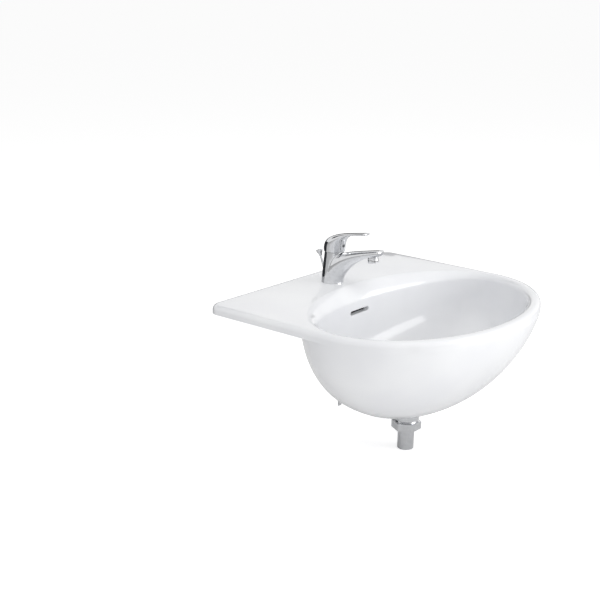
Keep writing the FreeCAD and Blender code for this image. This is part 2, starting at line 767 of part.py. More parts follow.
def strap_slot_z():
    """Height of the strap's slot with the plug open."""
    return port_z - arm_open * math.tan(swing)


def strap_slot(depth):
    z = strap_slot_z()
    half, radius = strap_slot_height / 2, strap_slot_width / 2
    reach = half - radius
    y = (strap_y - depth, strap_y + depth)
    ends = [along_y(0, y[0], y[1], z + k * reach, radius) for k in (1, -1)]
    return block((-radius, radius), y, (z - reach, z + reach)).fuse(ends)


def clevis_strap():
    half = strap_head_width / 2
    top = strap_z + strap_head_height / 2
    front = strap_y - strap_thickness / 2
    back = front + strap_head_depth
    head = block((-half, half), (front, back), (strap_z - strap_head_height / 2, top))
    low = strap_slot_z() - strap_slot_height / 2 - strap_tail
    plate = block((-strap_width / 2, strap_width / 2), (front, front + strap_thickness), (low, top))
    screw = along_y(0, lift_y(strap_z), back + past, strap_z, strap_screw_radius)
    rod = lift_cylinder(strap_z - strap_head_height, strap_z + strap_head_height, lift_rod_radius)
    return solid_of(head.fuse(plate).cut([rod, strap_slot(2 * strap_thickness), screw]))


def clevis_screw():
    """The thumb screw that grips the lift rod in the strap's head."""
    back = strap_y - strap_thickness / 2 + strap_head_depth
    screw = along_y(0, lift_y(strap_z), back, strap_z, strap_screw_radius)
    rod = lift_cylinder(strap_z - strap_head_height, strap_z + strap_head_height, lift_rod_radius)
    screw = screw.cut(rod)
    screw = max(screw.Solids, key=lambda s: s.CenterOfMass.y)
    head = along_y(0, back, back + strap_screw_head, strap_z, strap_screw_head_radius)
    return solid_of(screw.fuse(head))


def spring_clip():
    """A bent strip that holds the strap between its two legs."""
    z = strap_slot_z()
    inner = strap_thickness / 2 + clip_gap
    outer = inner + clip_thickness
    half = clip_width / 2
    low, high = z - clip_height / 2, z + clip_height / 2
    legs = [
        block((-half, half), (strap_y + a, strap_y + b), (low, high))
        for a, b in ((-outer, -inner), (inner, outer))
    ]
    side = strap_width / 2 + clip_gap
    wrap = block((0, side + clip_thickness), (strap_y - outer, strap_y + outer), (low, high))
    gap = block((-past, side), (strap_y - inner, strap_y + inner), (low - past, high + past))
    return solid_of(legs[0].fuse([legs[1], wrap]).cut([gap, strap_slot(2 * outer)]))


# --- pivot -----------------------------------------------------------------------------------
def tilted(shape):
    """Turned about the ball to where the plug is open: the far end hangs low."""
    shape.rotate(V(0, ball_y, port_z), V(1, 0, 0), -math.degrees(swing))
    return shape


def pivot_rod():
    start = waste_y - pivot_tip_length
    end = strap_y + pivot_tail_length
    return tilted(along_y(0, start, end, port_z, pivot_rod_radius))


def pivot_ball():
    ball = Part.makeSphere(ball_radius, V(0, ball_y, port_z))
    bore = along_y(0, ball_y - 2 * ball_radius, ball_y + 2 * ball_radius, port_z, pivot_rod_radius)
    return tilted(solid_of(ball.cut(bore)))


def ball_seat(start, end):
    """A soft ring in the port between two places along Y, cut to the ball's shape."""
    ring = along_y(0, start, end, port_z, port_bore_radius)
    hole = along_y(0, start - past, end + past, port_z, pivot_opening_radius - ball_seat_lip)
    ball = Part.makeSphere(ball_radius + ball_clearance, V(0, ball_y, port_z))
    return solid_of(ring.cut([hole, ball]))


def pivot_nut():
    """The nut on the side port. It presses the seat rings on the ball."""
    start, end = port_end - pivot_nut_skirt, port_end + pivot_nut_cap
    corner = pivot_nut_flats / math.sqrt(3)
    angles = [math.radians(60 * i + 30) for i in range(7)]
    outline = [V(corner * math.cos(a), start, port_z + corner * math.sin(a)) for a in angles]
    nut = Part.Face(Part.makePolygon(outline)).extrude(V(0, end - start, 0))
    cuts = [
        along_y(0, start - past, port_end, port_z, port_radius + thread_clearance),
        along_y(0, start - past, end + past, port_z, pivot_opening_radius),
    ]
    return solid_of(nut.cut(cuts))


# --- plug ------------------------------------------------------------------------------------
def plug_cap():
    edge = disc(0, waste_y, plug_base, plug_base + plug_edge, plug_radius)
    top = plug_base + plug_edge
    sphere_radius = (plug_radius ** 2 + plug_crown ** 2) / (2 * plug_crown)
    ball = Part.makeSphere(sphere_radius, V(0, waste_y, top + plug_crown - sphere_radius))
    crown = ball.common(disc(0, waste_y, top, top + plug_crown + past, plug_radius))
    return solid_of(edge.fuse(crown))


def plug_seal():
    return tube(0, waste_y, plug_base - plug_seal_thickness, plug_base, plug_seal_radius, plug_seal_bore)


def plug_stem():
    """Guide fins, stem and the eye that the pivot rod's tip lifts."""
    eye_low, eye_high = eye_z - eye_height / 2, eye_z + eye_height / 2
    stem_rod = disc(0, waste_y, eye_low, plug_base, plug_stem_radius)
    disc_top = disc(0, waste_y, plug_base - fin_start, plug_base, plug_seal_bore)
    reach = flange_bore_radius - fin_clearance
    half = fin_thickness / 2
    z = (plug_base - fin_start - fin_height, plug_base - fin_start)
    fins = [
        block((-reach, reach), (waste_y - half, waste_y + half), z),
        block((-half, half), (waste_y - reach, waste_y + reach), z),
    ]
    eye = block(
        (-eye_width / 2, eye_width / 2),
        (waste_y - eye_depth / 2, waste_y + eye_depth / 2),
        (eye_low, eye_high),
    )
    hole = along_y(0, waste_y - eye_depth, waste_y + eye_depth, eye_z, eye_radius)
    return solid_of(disc_top.fuse([stem_rod, eye] + fins).cut(hole))


# --- waste -----------------------------------------------------------------------------------
def waste_flange():
    flange = disc(0, waste_y, flange_low, flange_top, flange_radius)
    pipe = disc(0, waste_y, flange_end, flange_low, flange_tube_radius)
    half = overflow_slot_width / 2
    slot_low = boss_bottom + duct_floor_wall
    slots = block(
        (-half, half),
        (waste_y - 2 * flange_tube_radius, waste_y + 2 * flange_tube_radius),
        (slot_low, slot_low + duct_run_height),
    )
    cuts = [
        disc(0, waste_y, flange_top - plug_seat_depth, flange_top + past, plug_seat_radius),
        disc(0, waste_y, flange_end - past, flange_top + past, flange_bore_radius),
        slots,
    ]
    return solid_of(flange.fuse(pipe).cut(cuts))


def flange_seal():
    return tube(0, waste_y, floor_z - recess_depth, flange_low, flange_radius, flange_tube_radius)


def waste_gasket():
    return tube(0, waste_y, gasket_bottom, boss_bottom, gasket_radius, flange_tube_radius)


def slip_washer():
    bore = flange_tube_radius + thread_clearance
    return tube(0, waste_y, locknut_top, gasket_bottom, slip_washer_radius, bore)


def waste_locknut():
    low = locknut_top - locknut_height
    nut = hexagon(0, waste_y, low, locknut_top, locknut_flats)
    return nut.cut(disc(0, waste_y, low - past, locknut_top + past, flange_tube_radius))


def waste_tee():
    """The lower body: socket for the flange's tube, side port for the pivot, thread for the tail."""
    low = tee_top - tee_length
    barrel = disc(0, waste_y, low + tee_thread_length, tee_top, tee_radius)
    thread = disc(0, waste_y, low, low + tee_thread_length, tee_thread_radius)
    port = along_y(0, waste_y, port_end, port_z, port_radius)
    cuts = [
        disc(0, waste_y, flange_end, tee_top + past, flange_tube_radius),
        disc(0, waste_y, low - past, tee_top + past, flange_bore_radius),
        along_y(0, waste_y, port_end, port_z, pivot_opening_radius),
        along_y(0, inner_seat_start, port_end + past, port_z, port_bore_radius),
    ]
    return solid_of(barrel.fuse([thread, port]).cut(cuts))


def tail_top():
    return tee_top - tee_length - tail_seal_thickness


def tail_seal():
    high = tee_top - tee_length
    return tube(0, waste_y, tail_top(), high, tail_seal_radius, tail_radius)


def tailpiece():
    top = tail_top()
    pipe = disc(0, waste_y, top - tail_length, top + tail_insertion, tail_radius)
    collar = disc(0, waste_y, top - tail_collar_height, top, tail_collar_radius)
    bore = disc(0, waste_y, top - tail_length - past, top + tail_insertion + past, tail_bore_radius)
    return solid_of(pipe.fuse(collar).cut(bore))


def tail_nut():
    lip = tail_top() - tail_collar_height
    low = lip - tail_nut_lip
    high = low + tail_nut_height
    nut = hexagon(0, waste_y, low, high, tail_nut_flats)
    cuts = [
        disc(0, waste_y, lip, high + past, tee_thread_radius + thread_clearance),
        disc(0, waste_y, low - past, high + past, tail_radius + tail_nut_clearance),
    ]
    return solid_of(nut.cut(cuts))


NODES = {
    "basin_body": basin_body,
    "tap_body": tap_body,
    "tap_base_seal": base_seal,
    "fixing_stud": fixing_stud,
    "fixing_rubber_washer": lambda: horseshoe(shoe_seam, tap_recess_depth),
    "fixing_steel_washer": lambda: horseshoe(shoe_low, shoe_seam),
    "fixing_nut": fixing_nut,
    "aerator_housing": aerator_housing,
    "aerator_insert": aerator_insert,
    "aerator_seal": aerator_seal,
    "cartridge_body": cartridge_body,
    "cartridge_seals": cartridge_seals,
    "cartridge_carrier": carrier,
    "stem_pin": stem_pin,
    "cartridge_stem": stem,
    "cartridge_ring_nut": ring_nut,
    "dome_ring": dome_ring,
    "lever_handle": handle,
    "handle_grub_screw": grub_screw,
    "handle_plug": handle_plug,
    "lift_rod": lift_rod,
    "lift_knob": lift_knob,
    "clevis_strap": clevis_strap,
    "clevis_screw": clevis_screw,
    "spring_clip": spring_clip,
    "pivot_rod": pivot_rod,
    "pivot_ball": pivot_ball,
    "pivot_inner_seat": lambda: ball_seat(inner_seat_start, ball_y - ball_seat_gap),
    "pivot_outer_seat": lambda: ball_seat(ball_y + ball_seat_gap, port_end),
    "pivot_nut": pivot_nut,
    "plug_cap": plug_cap,
    "plug_seal": plug_seal,
    "plug_stem": plug_stem,
    "waste_flange": waste_flange,
    "waste_flange_seal": flange_seal,
    "waste_gasket": waste_gasket,
    "waste_slip_washer": slip_washer,
    "waste_locknut": waste_locknut,
    "waste_tee": waste_tee,
    "tail_seal": tail_seal,
    "tailpiece": tailpiece,
    "tail_nut": tail_nut,
}

os.makedirs("parts", exist_ok=True)
for name, build in NODES.items():
    shape = build()
    if not shape.isValid() or shape.Volume <= 0:
        raise ValueError(f"{name} isn't a valid solid")
    shape.exportStep(f"parts/{name}.step")
    box = shape.BoundBox
    span = f"z {box.ZMin:.1f} to {box.ZMax:.1f}"
    print(f"{name}: {len(shape.Solids)} solid, {shape.Volume / 1000:.2f} cm3, {span}")
print(f"linkage: swing {2 * math.degrees(swing):.3f} degrees, plug lift {plug_lift:.3f} mm")
print(f"pivot at y {ball_y:.3f}, z {port_z:.3f}; handle pivot at y {handle_y:.3f}, z {pivot_z:.3f}")
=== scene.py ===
import json
import math

import bmesh
import bpy
from bpy.props import (FloatProperty, FloatVectorProperty, IntProperty, PointerProperty,
                       StringProperty)
from mathutils import Matrix, Vector
from mathutils.bvhtree import BVHTree


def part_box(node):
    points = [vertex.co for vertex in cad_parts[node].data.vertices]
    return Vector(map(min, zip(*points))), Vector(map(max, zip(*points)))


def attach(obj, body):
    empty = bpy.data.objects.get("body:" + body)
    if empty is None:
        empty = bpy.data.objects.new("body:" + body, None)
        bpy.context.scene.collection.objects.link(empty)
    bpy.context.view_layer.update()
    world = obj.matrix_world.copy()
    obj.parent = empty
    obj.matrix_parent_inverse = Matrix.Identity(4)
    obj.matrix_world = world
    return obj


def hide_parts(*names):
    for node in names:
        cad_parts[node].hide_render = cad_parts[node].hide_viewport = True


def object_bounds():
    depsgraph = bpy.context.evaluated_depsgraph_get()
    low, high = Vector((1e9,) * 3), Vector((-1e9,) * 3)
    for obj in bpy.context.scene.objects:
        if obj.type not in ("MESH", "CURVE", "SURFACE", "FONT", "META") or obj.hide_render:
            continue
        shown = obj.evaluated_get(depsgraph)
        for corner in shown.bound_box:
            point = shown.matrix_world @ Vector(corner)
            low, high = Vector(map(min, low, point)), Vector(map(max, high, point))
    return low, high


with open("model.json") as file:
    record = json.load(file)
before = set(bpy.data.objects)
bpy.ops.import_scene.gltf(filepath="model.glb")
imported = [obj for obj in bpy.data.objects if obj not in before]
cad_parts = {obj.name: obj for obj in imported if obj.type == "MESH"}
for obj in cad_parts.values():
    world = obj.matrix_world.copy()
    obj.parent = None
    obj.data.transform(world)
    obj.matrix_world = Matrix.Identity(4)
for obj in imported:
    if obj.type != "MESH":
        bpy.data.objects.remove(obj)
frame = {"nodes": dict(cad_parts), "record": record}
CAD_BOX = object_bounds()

bl_info = {
    "name": "Semi recessed basin",
    "version": (1, 0, 0),
    "blender": (4, 5, 0),
    "location": "3D View > Sidebar > Basin",
    "description": "Dresses the basin, its tap and its waste in china, chrome, rubber and plastic",
    "category": "Object",
}

MM = 0.001
FULL_TURN = 2 * math.pi
QUARTER_TURN = math.pi / 2
WELD = 1e-6
BASIN_LOW, BASIN_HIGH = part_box("basin_body")
HANDLE_Y = sum(c.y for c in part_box("cartridge_stem")) / 2
TAP_Y = sum(c.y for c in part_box("tap_base_seal")) / 2
WASTE_Y = sum(c.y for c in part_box("waste_gasket")) / 2
RIM_TOP = 0.017


# --- properties: what a user would change ---------------------------------------------------
def length(name, description, default):
    return FloatProperty(name=name, description=description, default=default, unit="LENGTH",
                         precision=4)


def colour(name, description, default):
    return StringProperty(name=name, description=description + ", as an sRGB hex value",
                          default=default)


def share(name, description, default):
    return FloatProperty(name=name, description=description, default=default, min=0.0, max=1.0,
                         subtype="FACTOR")


class ChinaSettings(bpy.types.PropertyGroup):
    width: length("Width", "Side to side", BASIN_HIGH.x - BASIN_LOW.x)
    centre: length("Bowl centre", "Back edge to the line where the straight sides end", 0.280)
    front: length("Front reach", "That line to the front of the rim", -BASIN_LOW.y - 0.280)
    rim_round: length("Rim rounding", "Radius of the rim's outer edge", 0.010)
    corner: length("Back corners", "Radius of the back corners in plan", 0.025)
    dish_spread: FloatProperty(name="Dish spread", description="How fast the dish fades sideways",
                               default=1.6)
    slot_width: length("Overflow width", "Length of the overflow slot", 0.058)
    slot_height: length("Overflow height", "Height of the overflow slot", 0.008)
    slot_drop: length("Overflow drop", "Seat plane to the middle of the slot", 0.030)
    slot_edge: length("Overflow edge", "Rounding that the glaze leaves at the slot", 0.0012)
    rounds: IntProperty(name="Sides", description="Points round each ring of the bowl",
                        default=192, min=48)
    glaze: colour("Glaze", "Colour of the glaze", "#F0F1F3")
    glaze_thin: colour("Thin glaze", "Colour where the glaze runs thinner", "#EBECEF")
    gloss: share("Glaze roughness", "Roughness of the fired glaze", 0.06)


class TapSettings(bpy.types.PropertyGroup):
    foot: length("Foot radius", "Radius of the tap's foot", 0.022)
    neck: length("Neck radius", "Radius at the top of the body", 0.019)
    body: length("Body height", "Ledge to the top of the body", 0.062)
    blend: IntProperty(name="Blend", description="Smoothing passes where spout and body meet",
                       default=14, min=0)
    grid: length("Grid", "Cell of the casting's surface grid", 0.0008)
    chrome: colour("Chrome", "Colour of the polished chrome", "#DADBDD")
    haze: share("Chrome roughness", "Roughness of the polished chrome", 0.05)


class StageSettings(bpy.types.PropertyGroup):
    floor: length("Floor height", "Height of the floor", CAD_BOX[0].z)
    floor_colour: colour("Floor", "Colour of the floor", "#F2F2F2")
    camera: FloatVectorProperty(name="Camera", description="Place of the camera", subtype="XYZ",
                                unit="LENGTH", default=(-1.8109, -1.4761, 0.6508))
    turn: FloatVectorProperty(name="Camera turn",
                              description="Azimuth, elevation and roll of the camera",
                              subtype="EULER",
                              default=tuple(math.radians(a) for a in (-50.648, 16.388, 0.9589)))
    lens: FloatProperty(name="Lens", description="Focal length", default=72.33, unit="CAMERA")


# --- materials ------------------------------------------------------------------------------
MATERIAL_NAMES = {
    "glazed_china": "vitreous_china_glazed",
    "polished_chrome": "brass_chrome_plated",
    "brass": "brass_turned",
    "stainless_steel": "stainless_steel_brushed",
    "black_rubber": "epdm_rubber_moulded",
    "white_plastic": "acetal_moulded",
    "grey_plastic": "abs_moulded",
}
# Matt china for the overflow's passage, its near-black colour painted shade.
PAINTED_SHADE_CHINA = "vitreous_china_painted_shade"


def material_of(slot):
    return bpy.data.materials[MATERIAL_NAMES[slot]]


def linear(hex_colour):
    """sRGB hex to Blender's linear colour."""
    values = [int(hex_colour[i:i + 2], 16) / 255 for i in (1, 3, 5)]
    return [v / 12.92 if v <= 0.04045 else ((v + 0.055) / 1.055) ** 2.4 for v in values] + [1.0]


def add(tree, kind, inputs=(), **settings):
    """Adds a node with its settings. inputs pairs an input's name with a value or a socket."""
    node = tree.nodes.new(kind)
    for name, value in settings.items():
        setattr(node, name, value)
    for name, value in inputs:
        if isinstance(value, bpy.types.NodeSocket):
            tree.links.new(value, node.inputs[name])
        else:
            node.inputs[name].default_value = value
    return node


def emptied(owner):
    """The node tree of a material or world, with its default nodes taken out."""
    owner.use_nodes = True
    owner.node_tree.nodes.clear()
    return owner.node_tree


def new_material(name):
    tree = emptied(bpy.data.materials.new(name))
    return tree, add(tree, "ShaderNodeTexCoord").outputs["Object"]


def surface(tree, colour_socket, bump_socket, **values):
    """The principled shader and the output. values are set on the shader's own sockets."""
    shader = add(tree, "ShaderNodeBsdfPrincipled",
                 [("Base Color", colour_socket), ("Normal", bump_socket)])
    for name, value in values.items():
        name = name.replace("_", " ")
        if isinstance(value, bpy.types.NodeSocket):
            tree.links.new(value, shader.inputs[name])
        else:
            shader.inputs[name].default_value = value
    add(tree, "ShaderNodeOutputMaterial", [("Surface", shader.outputs["BSDF"])])


def two_tones(tree, factor, first, second):
    """A colour that drifts between two hex values over the middle third of a noise."""
    spread = add(tree, "ShaderNodeMapRange",
                 [("Value", factor), ("From Min", 0.35), ("From Max", 0.65)])
    mix = add(tree, "ShaderNodeMix", [("Factor", spread.outputs["Result"])], data_type="RGBA")
    mix.inputs["A"].default_value = linear(first)
    mix.inputs["B"].default_value = linear(second)
    return mix.outputs["Result"]


def vitreous_china(settings):
    # Vitreous china, slip cast, with a fired white glaze: a soft white body under a clear,
    # glassy skin that pools in hollows and ripples very slightly, so highlights are crisp and
    # their edges wander. The tone drifts over about 110 mm, the ripple over about 26 mm.
    tree, place = new_material(MATERIAL_NAMES["glazed_china"])
    cloud = add(tree, "ShaderNodeTexNoise", [("Vector", place), ("Scale", 9.0), ("Detail", 2.0)])
    ripple = add(tree, "ShaderNodeTexNoise",
                 [("Vector", place), ("Scale", 38.0), ("Detail", 1.0)])
    bump = add(tree, "ShaderNodeBump", [("Height", ripple.outputs["Fac"]), ("Strength", 0.25),
                                        ("Distance", 0.0003)])
    tone = two_tones(tree, cloud.outputs["Fac"], settings.glaze, settings.glaze_thin)
    surface(tree, tone, bump.outputs["Normal"], Roughness=0.42, IOR=1.52, Coat_Weight=1.0,
            Coat_Roughness=settings.gloss, Coat_IOR=1.5)


def polished_chrome(settings):
    # Cast brass, buffed and chrome plated: a near-white mirror with a trace of buffing haze
    # that drifts over about 6 mm.
    tree, place = new_material(MATERIAL_NAMES["polished_chrome"])
    buff = add(tree, "ShaderNodeTexNoise",
               [("Vector", place), ("Scale", 160.0), ("Detail", 3.0)])
    haze = add(tree, "ShaderNodeMapRange",
               [("Value", buff.outputs["Fac"]), ("To Min", settings.haze * 0.6),
                ("To Max", settings.haze * 1.5)])
    bump = add(tree, "ShaderNodeBump", [("Height", buff.outputs["Fac"]), ("Strength", 0.04),
                                        ("Distance", 0.0001)])
    tone = two_tones(tree, buff.outputs["Fac"], settings.chrome, "#D2D3D5")
    surface(tree, tone, bump.outputs["Normal"], Metallic=1.0, Roughness=haze.outputs["Result"])


def turned_brass():
    # Free-cutting brass, turned and left bare: warm yellow with tool rings of about 0.4 mm
    # round Z, drawn coarser than real so that they show, and a little tarnish.
    tree, place = new_material(MATERIAL_NAMES["brass"])
    stretch = add(tree, "ShaderNodeMapping",
                  [("Vector", place), ("Scale", (60.0, 60.0, 2600.0))])
    rings = add(tree, "ShaderNodeTexNoise",
                [("Vector", stretch.outputs["Vector"]), ("Scale", 1.0), ("Detail", 2.0)])
    tarnish = add(tree, "ShaderNodeTexNoise",
                  [("Vector", place), ("Scale", 70.0), ("Detail", 4.0)])
    bump = add(tree, "ShaderNodeBump", [("Height", rings.outputs["Fac"]), ("Strength", 0.3),
                                        ("Distance", 0.0001)])
    tone = two_tones(tree, tarnish.outputs["Fac"], "#C9A355", "#A98442")
    rough = add(tree, "ShaderNodeMapRange",
                [("Value", tarnish.outputs["Fac"]), ("To Min", 0.22), ("To Max", 0.38)])
    surface(tree, tone, bump.outputs["Normal"], Metallic=1.0, Roughness=rough.outputs["Result"])


def stainless_steel():
    # Stainless steel, rolled and lightly brushed: grey metal with a fine grain of about 0.2 mm.
    tree, place = new_material(MATERIAL_NAMES["stainless_steel"])
    stretch = add(tree, "ShaderNodeMapping",
                  [("Vector", place), ("Scale", (5000.0, 5000.0, 120.0))])
    grain = add(tree, "ShaderNodeTexNoise",
                [("Vector", stretch.outputs["Vector"]), ("Scale", 1.0), ("Detail", 2.0)])
    bump = add(tree, "ShaderNodeBump", [("Height", grain.outputs["Fac"]), ("Strength", 0.2),
                                        ("Distance", 0.0001)])
    tone = two_tones(tree, grain.outputs["Fac"], "#B4B4B1", "#9A9A98")
    rough = add(tree, "ShaderNodeMapRange",
                [("Value", grain.outputs["Fac"]), ("To Min", 0.26), ("To Max", 0.40)])
    surface(tree, tone, bump.outputs["Normal"], Metallic=1.0, Roughness=rough.outputs["Result"])


# Materials of one grain, as name: two tones, roughness, and the grain's width and depth in
# metres, drawn as coarse as shows.
GRAINED = {
    # The same china inside the overflow: matt, and near black, the passage's shade painted into
    # its colour.
    PAINTED_SHADE_CHINA: ("#4B4744", "#3D3A38", 0.85, 0.0010, 0.0001),
    # EPDM rubber, moulded: near black and dull, with a fine matt grain.
    MATERIAL_NAMES["black_rubber"]: ("#191918", "#232322", 0.62, 0.0006, 0.00008),
    # Acetal, moulded: milky white with a low sheen.
    MATERIAL_NAMES["white_plastic"]: ("#E2E2DE", "#D8D8D3", 0.38, 0.0012, 0.00004),
    # ABS, moulded: mid grey with a satin skin.
    MATERIAL_NAMES["grey_plastic"]: ("#5A5D60", "#505356", 0.34, 0.0010, 0.00004),
}


def grained(name):
    first, second, roughness, width, depth = GRAINED[name]
    tree, place = new_material(name)
    grain = add(tree, "ShaderNodeTexNoise",
                [("Vector", place), ("Scale", 1 / width), ("Detail", 3.0)])
    bump = add(tree, "ShaderNodeBump", [("Height", grain.outputs["Fac"]), ("Strength", 0.3),
                                        ("Distance", depth)])
    tone = two_tones(tree, grain.outputs["Fac"], first, second)
    surface(tree, tone, bump.outputs["Normal"], Roughness=roughness, IOR=1.5)


# --- mesh helpers ---------------------------------------------------------------------------
def bernstein(values, t):
    n = len(values) - 1
    return sum(math.comb(n, i) * (1 - t) ** (n - i) * t ** i * v for i, v in enumerate(values))


def angles(count):
    return [FULL_TURN * i / count for i in range(count)]


def steps_to(end, count):
    """Even steps from nothing to end."""
    return [end * i / count for i in range(count + 1)]


def finished(name, bm):
    """Puts a bmesh in a new object at the origin."""
    mesh = bpy.data.meshes.new(name)
    bm.to_mesh(mesh)
    bm.free()
    made = bpy.data.objects.new(name, mesh)
    bpy.context.scene.collection.objects.link(made)
    return made


def skinned(name, rings):
    """A closed skin through rings of as many points each: a circle extruded ring by ring."""
    bm = bmesh.new()
    loop = bmesh.ops.create_circle(bm, segments=len(rings[0]), radius=1.0)["verts"]
    edges = bm.edges[:]
    ends = [edges]
    for ring in rings:
        if ring is not rings[0]:
            made = bmesh.ops.extrude_edge_only(bm, edges=edges)["geom"]
            fresh = {v for v in made if isinstance(v, bmesh.types.BMVert)}
            loop = [next(e.other_vert(v) for e in v.link_edges if e.other_vert(v) in fresh)
                    for v in loop]
            edges = [e for v in loop for e in v.link_edges if e.other_vert(v) in fresh]
            edges = list(dict.fromkeys(edges))
        for vert, point in zip(loop, ring):
            vert.co = point
    ends.append(edges)
    for end in ends:
        bmesh.ops.contextual_create(bm, geom=end)
    bmesh.ops.remove_doubles(bm, verts=bm.verts, dist=WELD)
    bmesh.ops.recalc_face_normals(bm, faces=bm.faces)
    return finished(name, bm)


def turned(name, profile, axis_point, axis=(0, 0, 1), steps=72):
    """Turns a closed profile of (radius, distance along the axis) about an axis."""
    axis = Vector(axis).normalized()
    side = axis.orthogonal().normalized()
    centre = Vector(axis_point)
    bm = bmesh.new()
    verts = [bm.verts.new(centre + side * r + axis * d) for r, d in profile]
    edges = [bm.edges.new((a, b)) for a, b in zip(verts, verts[1:] + verts[:1])]
    bmesh.ops.spin(bm, geom=verts + edges, cent=centre, axis=axis, angle=FULL_TURN, steps=steps,
                   use_merge=True)
    bmesh.ops.remove_doubles(bm, verts=bm.verts, dist=WELD)
    bare = [e for e in bm.edges if not e.link_faces]
    bmesh.ops.delete(bm, geom=bare, context="EDGES")
    bmesh.ops.recalc_face_normals(bm, faces=bm.faces)
    return finished(name, bm)


def ring_profile(*points):
    """A profile for turned, from millimetres."""
    return [(r * MM, d * MM) for r, d in points]


def threaded(radius, low, high, pitch=1.5, depth=0.45):
    """The crests and roots of a thread between two heights, in millimetres."""
    turns = int(abs(high - low) / pitch)
    step = (high - low) / turns
    points = []
    for i in range(turns):
        points += [(radius - depth, low + step * i), (radius, low + step * (i + 0.5))]
    return points + [(radius - depth, high)]


def box_tool(x, y, z):
    bm = bmesh.new()
    bmesh.ops.create_cube(bm, size=1.0)
    size = Vector((x[1] - x[0], y[1] - y[0], z[1] - z[0]))
    middle = Vector((x[0] + x[1], y[0] + y[1], z[0] + z[1])) / 2
    bmesh.ops.scale(bm, vec=size, verts=bm.verts)
    bmesh.ops.translate(bm, vec=middle, verts=bm.verts)
    return finished("block", bm)


def line_tool(start, axis, low, high, radius, steps=72):
    """A round bar along an axis, between two distances from its start."""
    return turned("line", [(0, low), (radius, low), (radius, high), (0, high)], start, axis,
                  steps)


def disc_tool(x, y, low, high, radius, steps=72):
    """A round bar that stands between two heights."""
    return line_tool((x, y, 0), (0, 0, 1), low, high, radius, steps)


def combined(made, operation, tools):
    """Joins tools to a piece or cuts them from it, and removes the tools."""
    for tool in tools:
        cut = made.modifiers.new("cut", "BOOLEAN")
        cut.operation, cut.object, cut.solver = operation, tool, "MANIFOLD"
    settle(made)
    for tool in tools:
        bpy.data.objects.remove(tool)
    return made


def settle(made):
    """Applies a piece's modifiers."""
    depsgraph = bpy.context.evaluated_depsgraph_get()
    mesh = bpy.data.meshes.new_from_object(made.evaluated_get(depsgraph))
    made.modifiers.clear()
    made.data = mesh
    return made


def eased(made, width, degrees=40.0, segments=3):
    """Rounds a piece's sharp edges."""
    bm = bmesh.new()
    bm.from_mesh(made.data)
    sharp = [e for e in bm.edges
             if len(e.link_faces) == 2 and e.calc_face_angle(0.0) > math.radians(degrees)]
    bmesh.ops.bevel(bm, geom=sharp, offset=width, segments=segments, profile=0.5,
                    affect="EDGES", material=-1)
    bm.to_mesh(made.data)
    bm.free()
    return made


def shade(made, degrees):
    """Smooth shading, with edges sharper than the angle kept sharp."""
    limit = math.radians(degrees)
    bm = bmesh.new()
    bm.from_mesh(made.data)
    for edge in bm.edges:
        edge.smooth = len(edge.link_faces) == 2 and edge.calc_face_angle(0.0) < limit
    for face in bm.faces:
        face.smooth = True
    bm.to_mesh(made.data)
    bm.free()
    return made


def dress(made, body, slot, node):
    """Gives a finished piece its material and its body, and hides the CAD node that it stands for.
    """
    made.data.materials.clear()
    made.data.materials.append(material_of(slot))
    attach(made, body)
    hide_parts(node)
    return made


# --- basin ----------------------------------------------------------------------------------
# The rim's inner roll at the sides, the front and the dished back: distance from the bowl's
# centre to its start, its width, its depth and the power of its curve.
ROLLS = ((0.265, 0.012, 0.0134, 2.0), (0.189, 0.011, 0.0124, 2.0), (0.168, 0.0285, 0.0269, 1.4))
# The bowl's wall: how far each row steps in from the roll's foot at the sides, the front and
# the back, and its height.
WALL = (
    (0.001, 0.001, 0.0005, -0.050),
    (0.010, 0.010, 0.0055, -0.100),
    (0.063, 0.048, 0.0275, -0.112),
    (0.153, 0.116, 0.0595, -0.132),
)
FLOOR = -0.140
FLOOR_REACHES = [0.033, 0.015, 0.051]
WALL_SHARE = 0.94
# The rebate that the waste's flange sits in: radius and height.
DRAIN_SEAT = ((0.0328, -0.143), (0.033, -0.1428), (0.033, -0.1404), (0.0335, -0.140),
              (0.036, -0.1398))
# The outer skin: reach at the sides, the front and the back, and height.
OUTSIDE = (
    (0.280, 0.203, 0.1715, 0.0),
    (0.280, 0.203, 0.1715, -0.005),
    (0.271, 0.162, 0.1645, -0.180),
    (0.069, 0.0305, 0.100, -0.191),
    (0.046, 0.028, 0.064, -0.191),
)
CHINA = 0.012
# The open space between bowl and skin runs out through the back, below SPACE_TOP.
SPACE_BACK, SPACE_TOP = 0.073, -0.095
BOSS, BOSS_RADIUS = (-0.168, -0.130), 0.040
LEG_HALF, LEG_FRONT, LEG_BACK, LEG_TOP = 0.028, -0.1505, -0.1075, -0.094
# The overflow's passage behind the back wall: wide at its mouth, narrow at its foot.
DUCT_FRONT, DUCT_BACK, DUCT_TOP, DUCT_FOOT, DUCT_RUN = -0.1305, -0.1185, -0.020, -0.160, -0.152
DUCT_WIDE, DUCT_NARROW = (0.035, -0.046), (0.018, -0.076)
SLOT_BACK = -0.1295
CASING_BACK, CASING_ROUND, CASING_FOOT = -0.1105, 0.008, 0.006
# Where the casing grows out of the skin: height and how far it stands back.
CASING_SLOPE = [(-0.085, 0.0), (-0.070, 0.0012), (-0.055, 0.0040), (-0.045, 0.0075)]


def oval(settings, reaches, heights, count):
    """Points round the bowl through side, front and rear reaches and heights."""
    points = []
    for a in angles(count):
        c, s = math.cos(a), math.sin(a)
        end = 1 if s < 0 else 2
        part = abs(s) ** settings.dish_spread
        z = heights[0] * (1 - part) + heights[end] * part
        points.append(Vector((reaches[0] * c, -settings.centre + reaches[end] * s, z)))
    return points


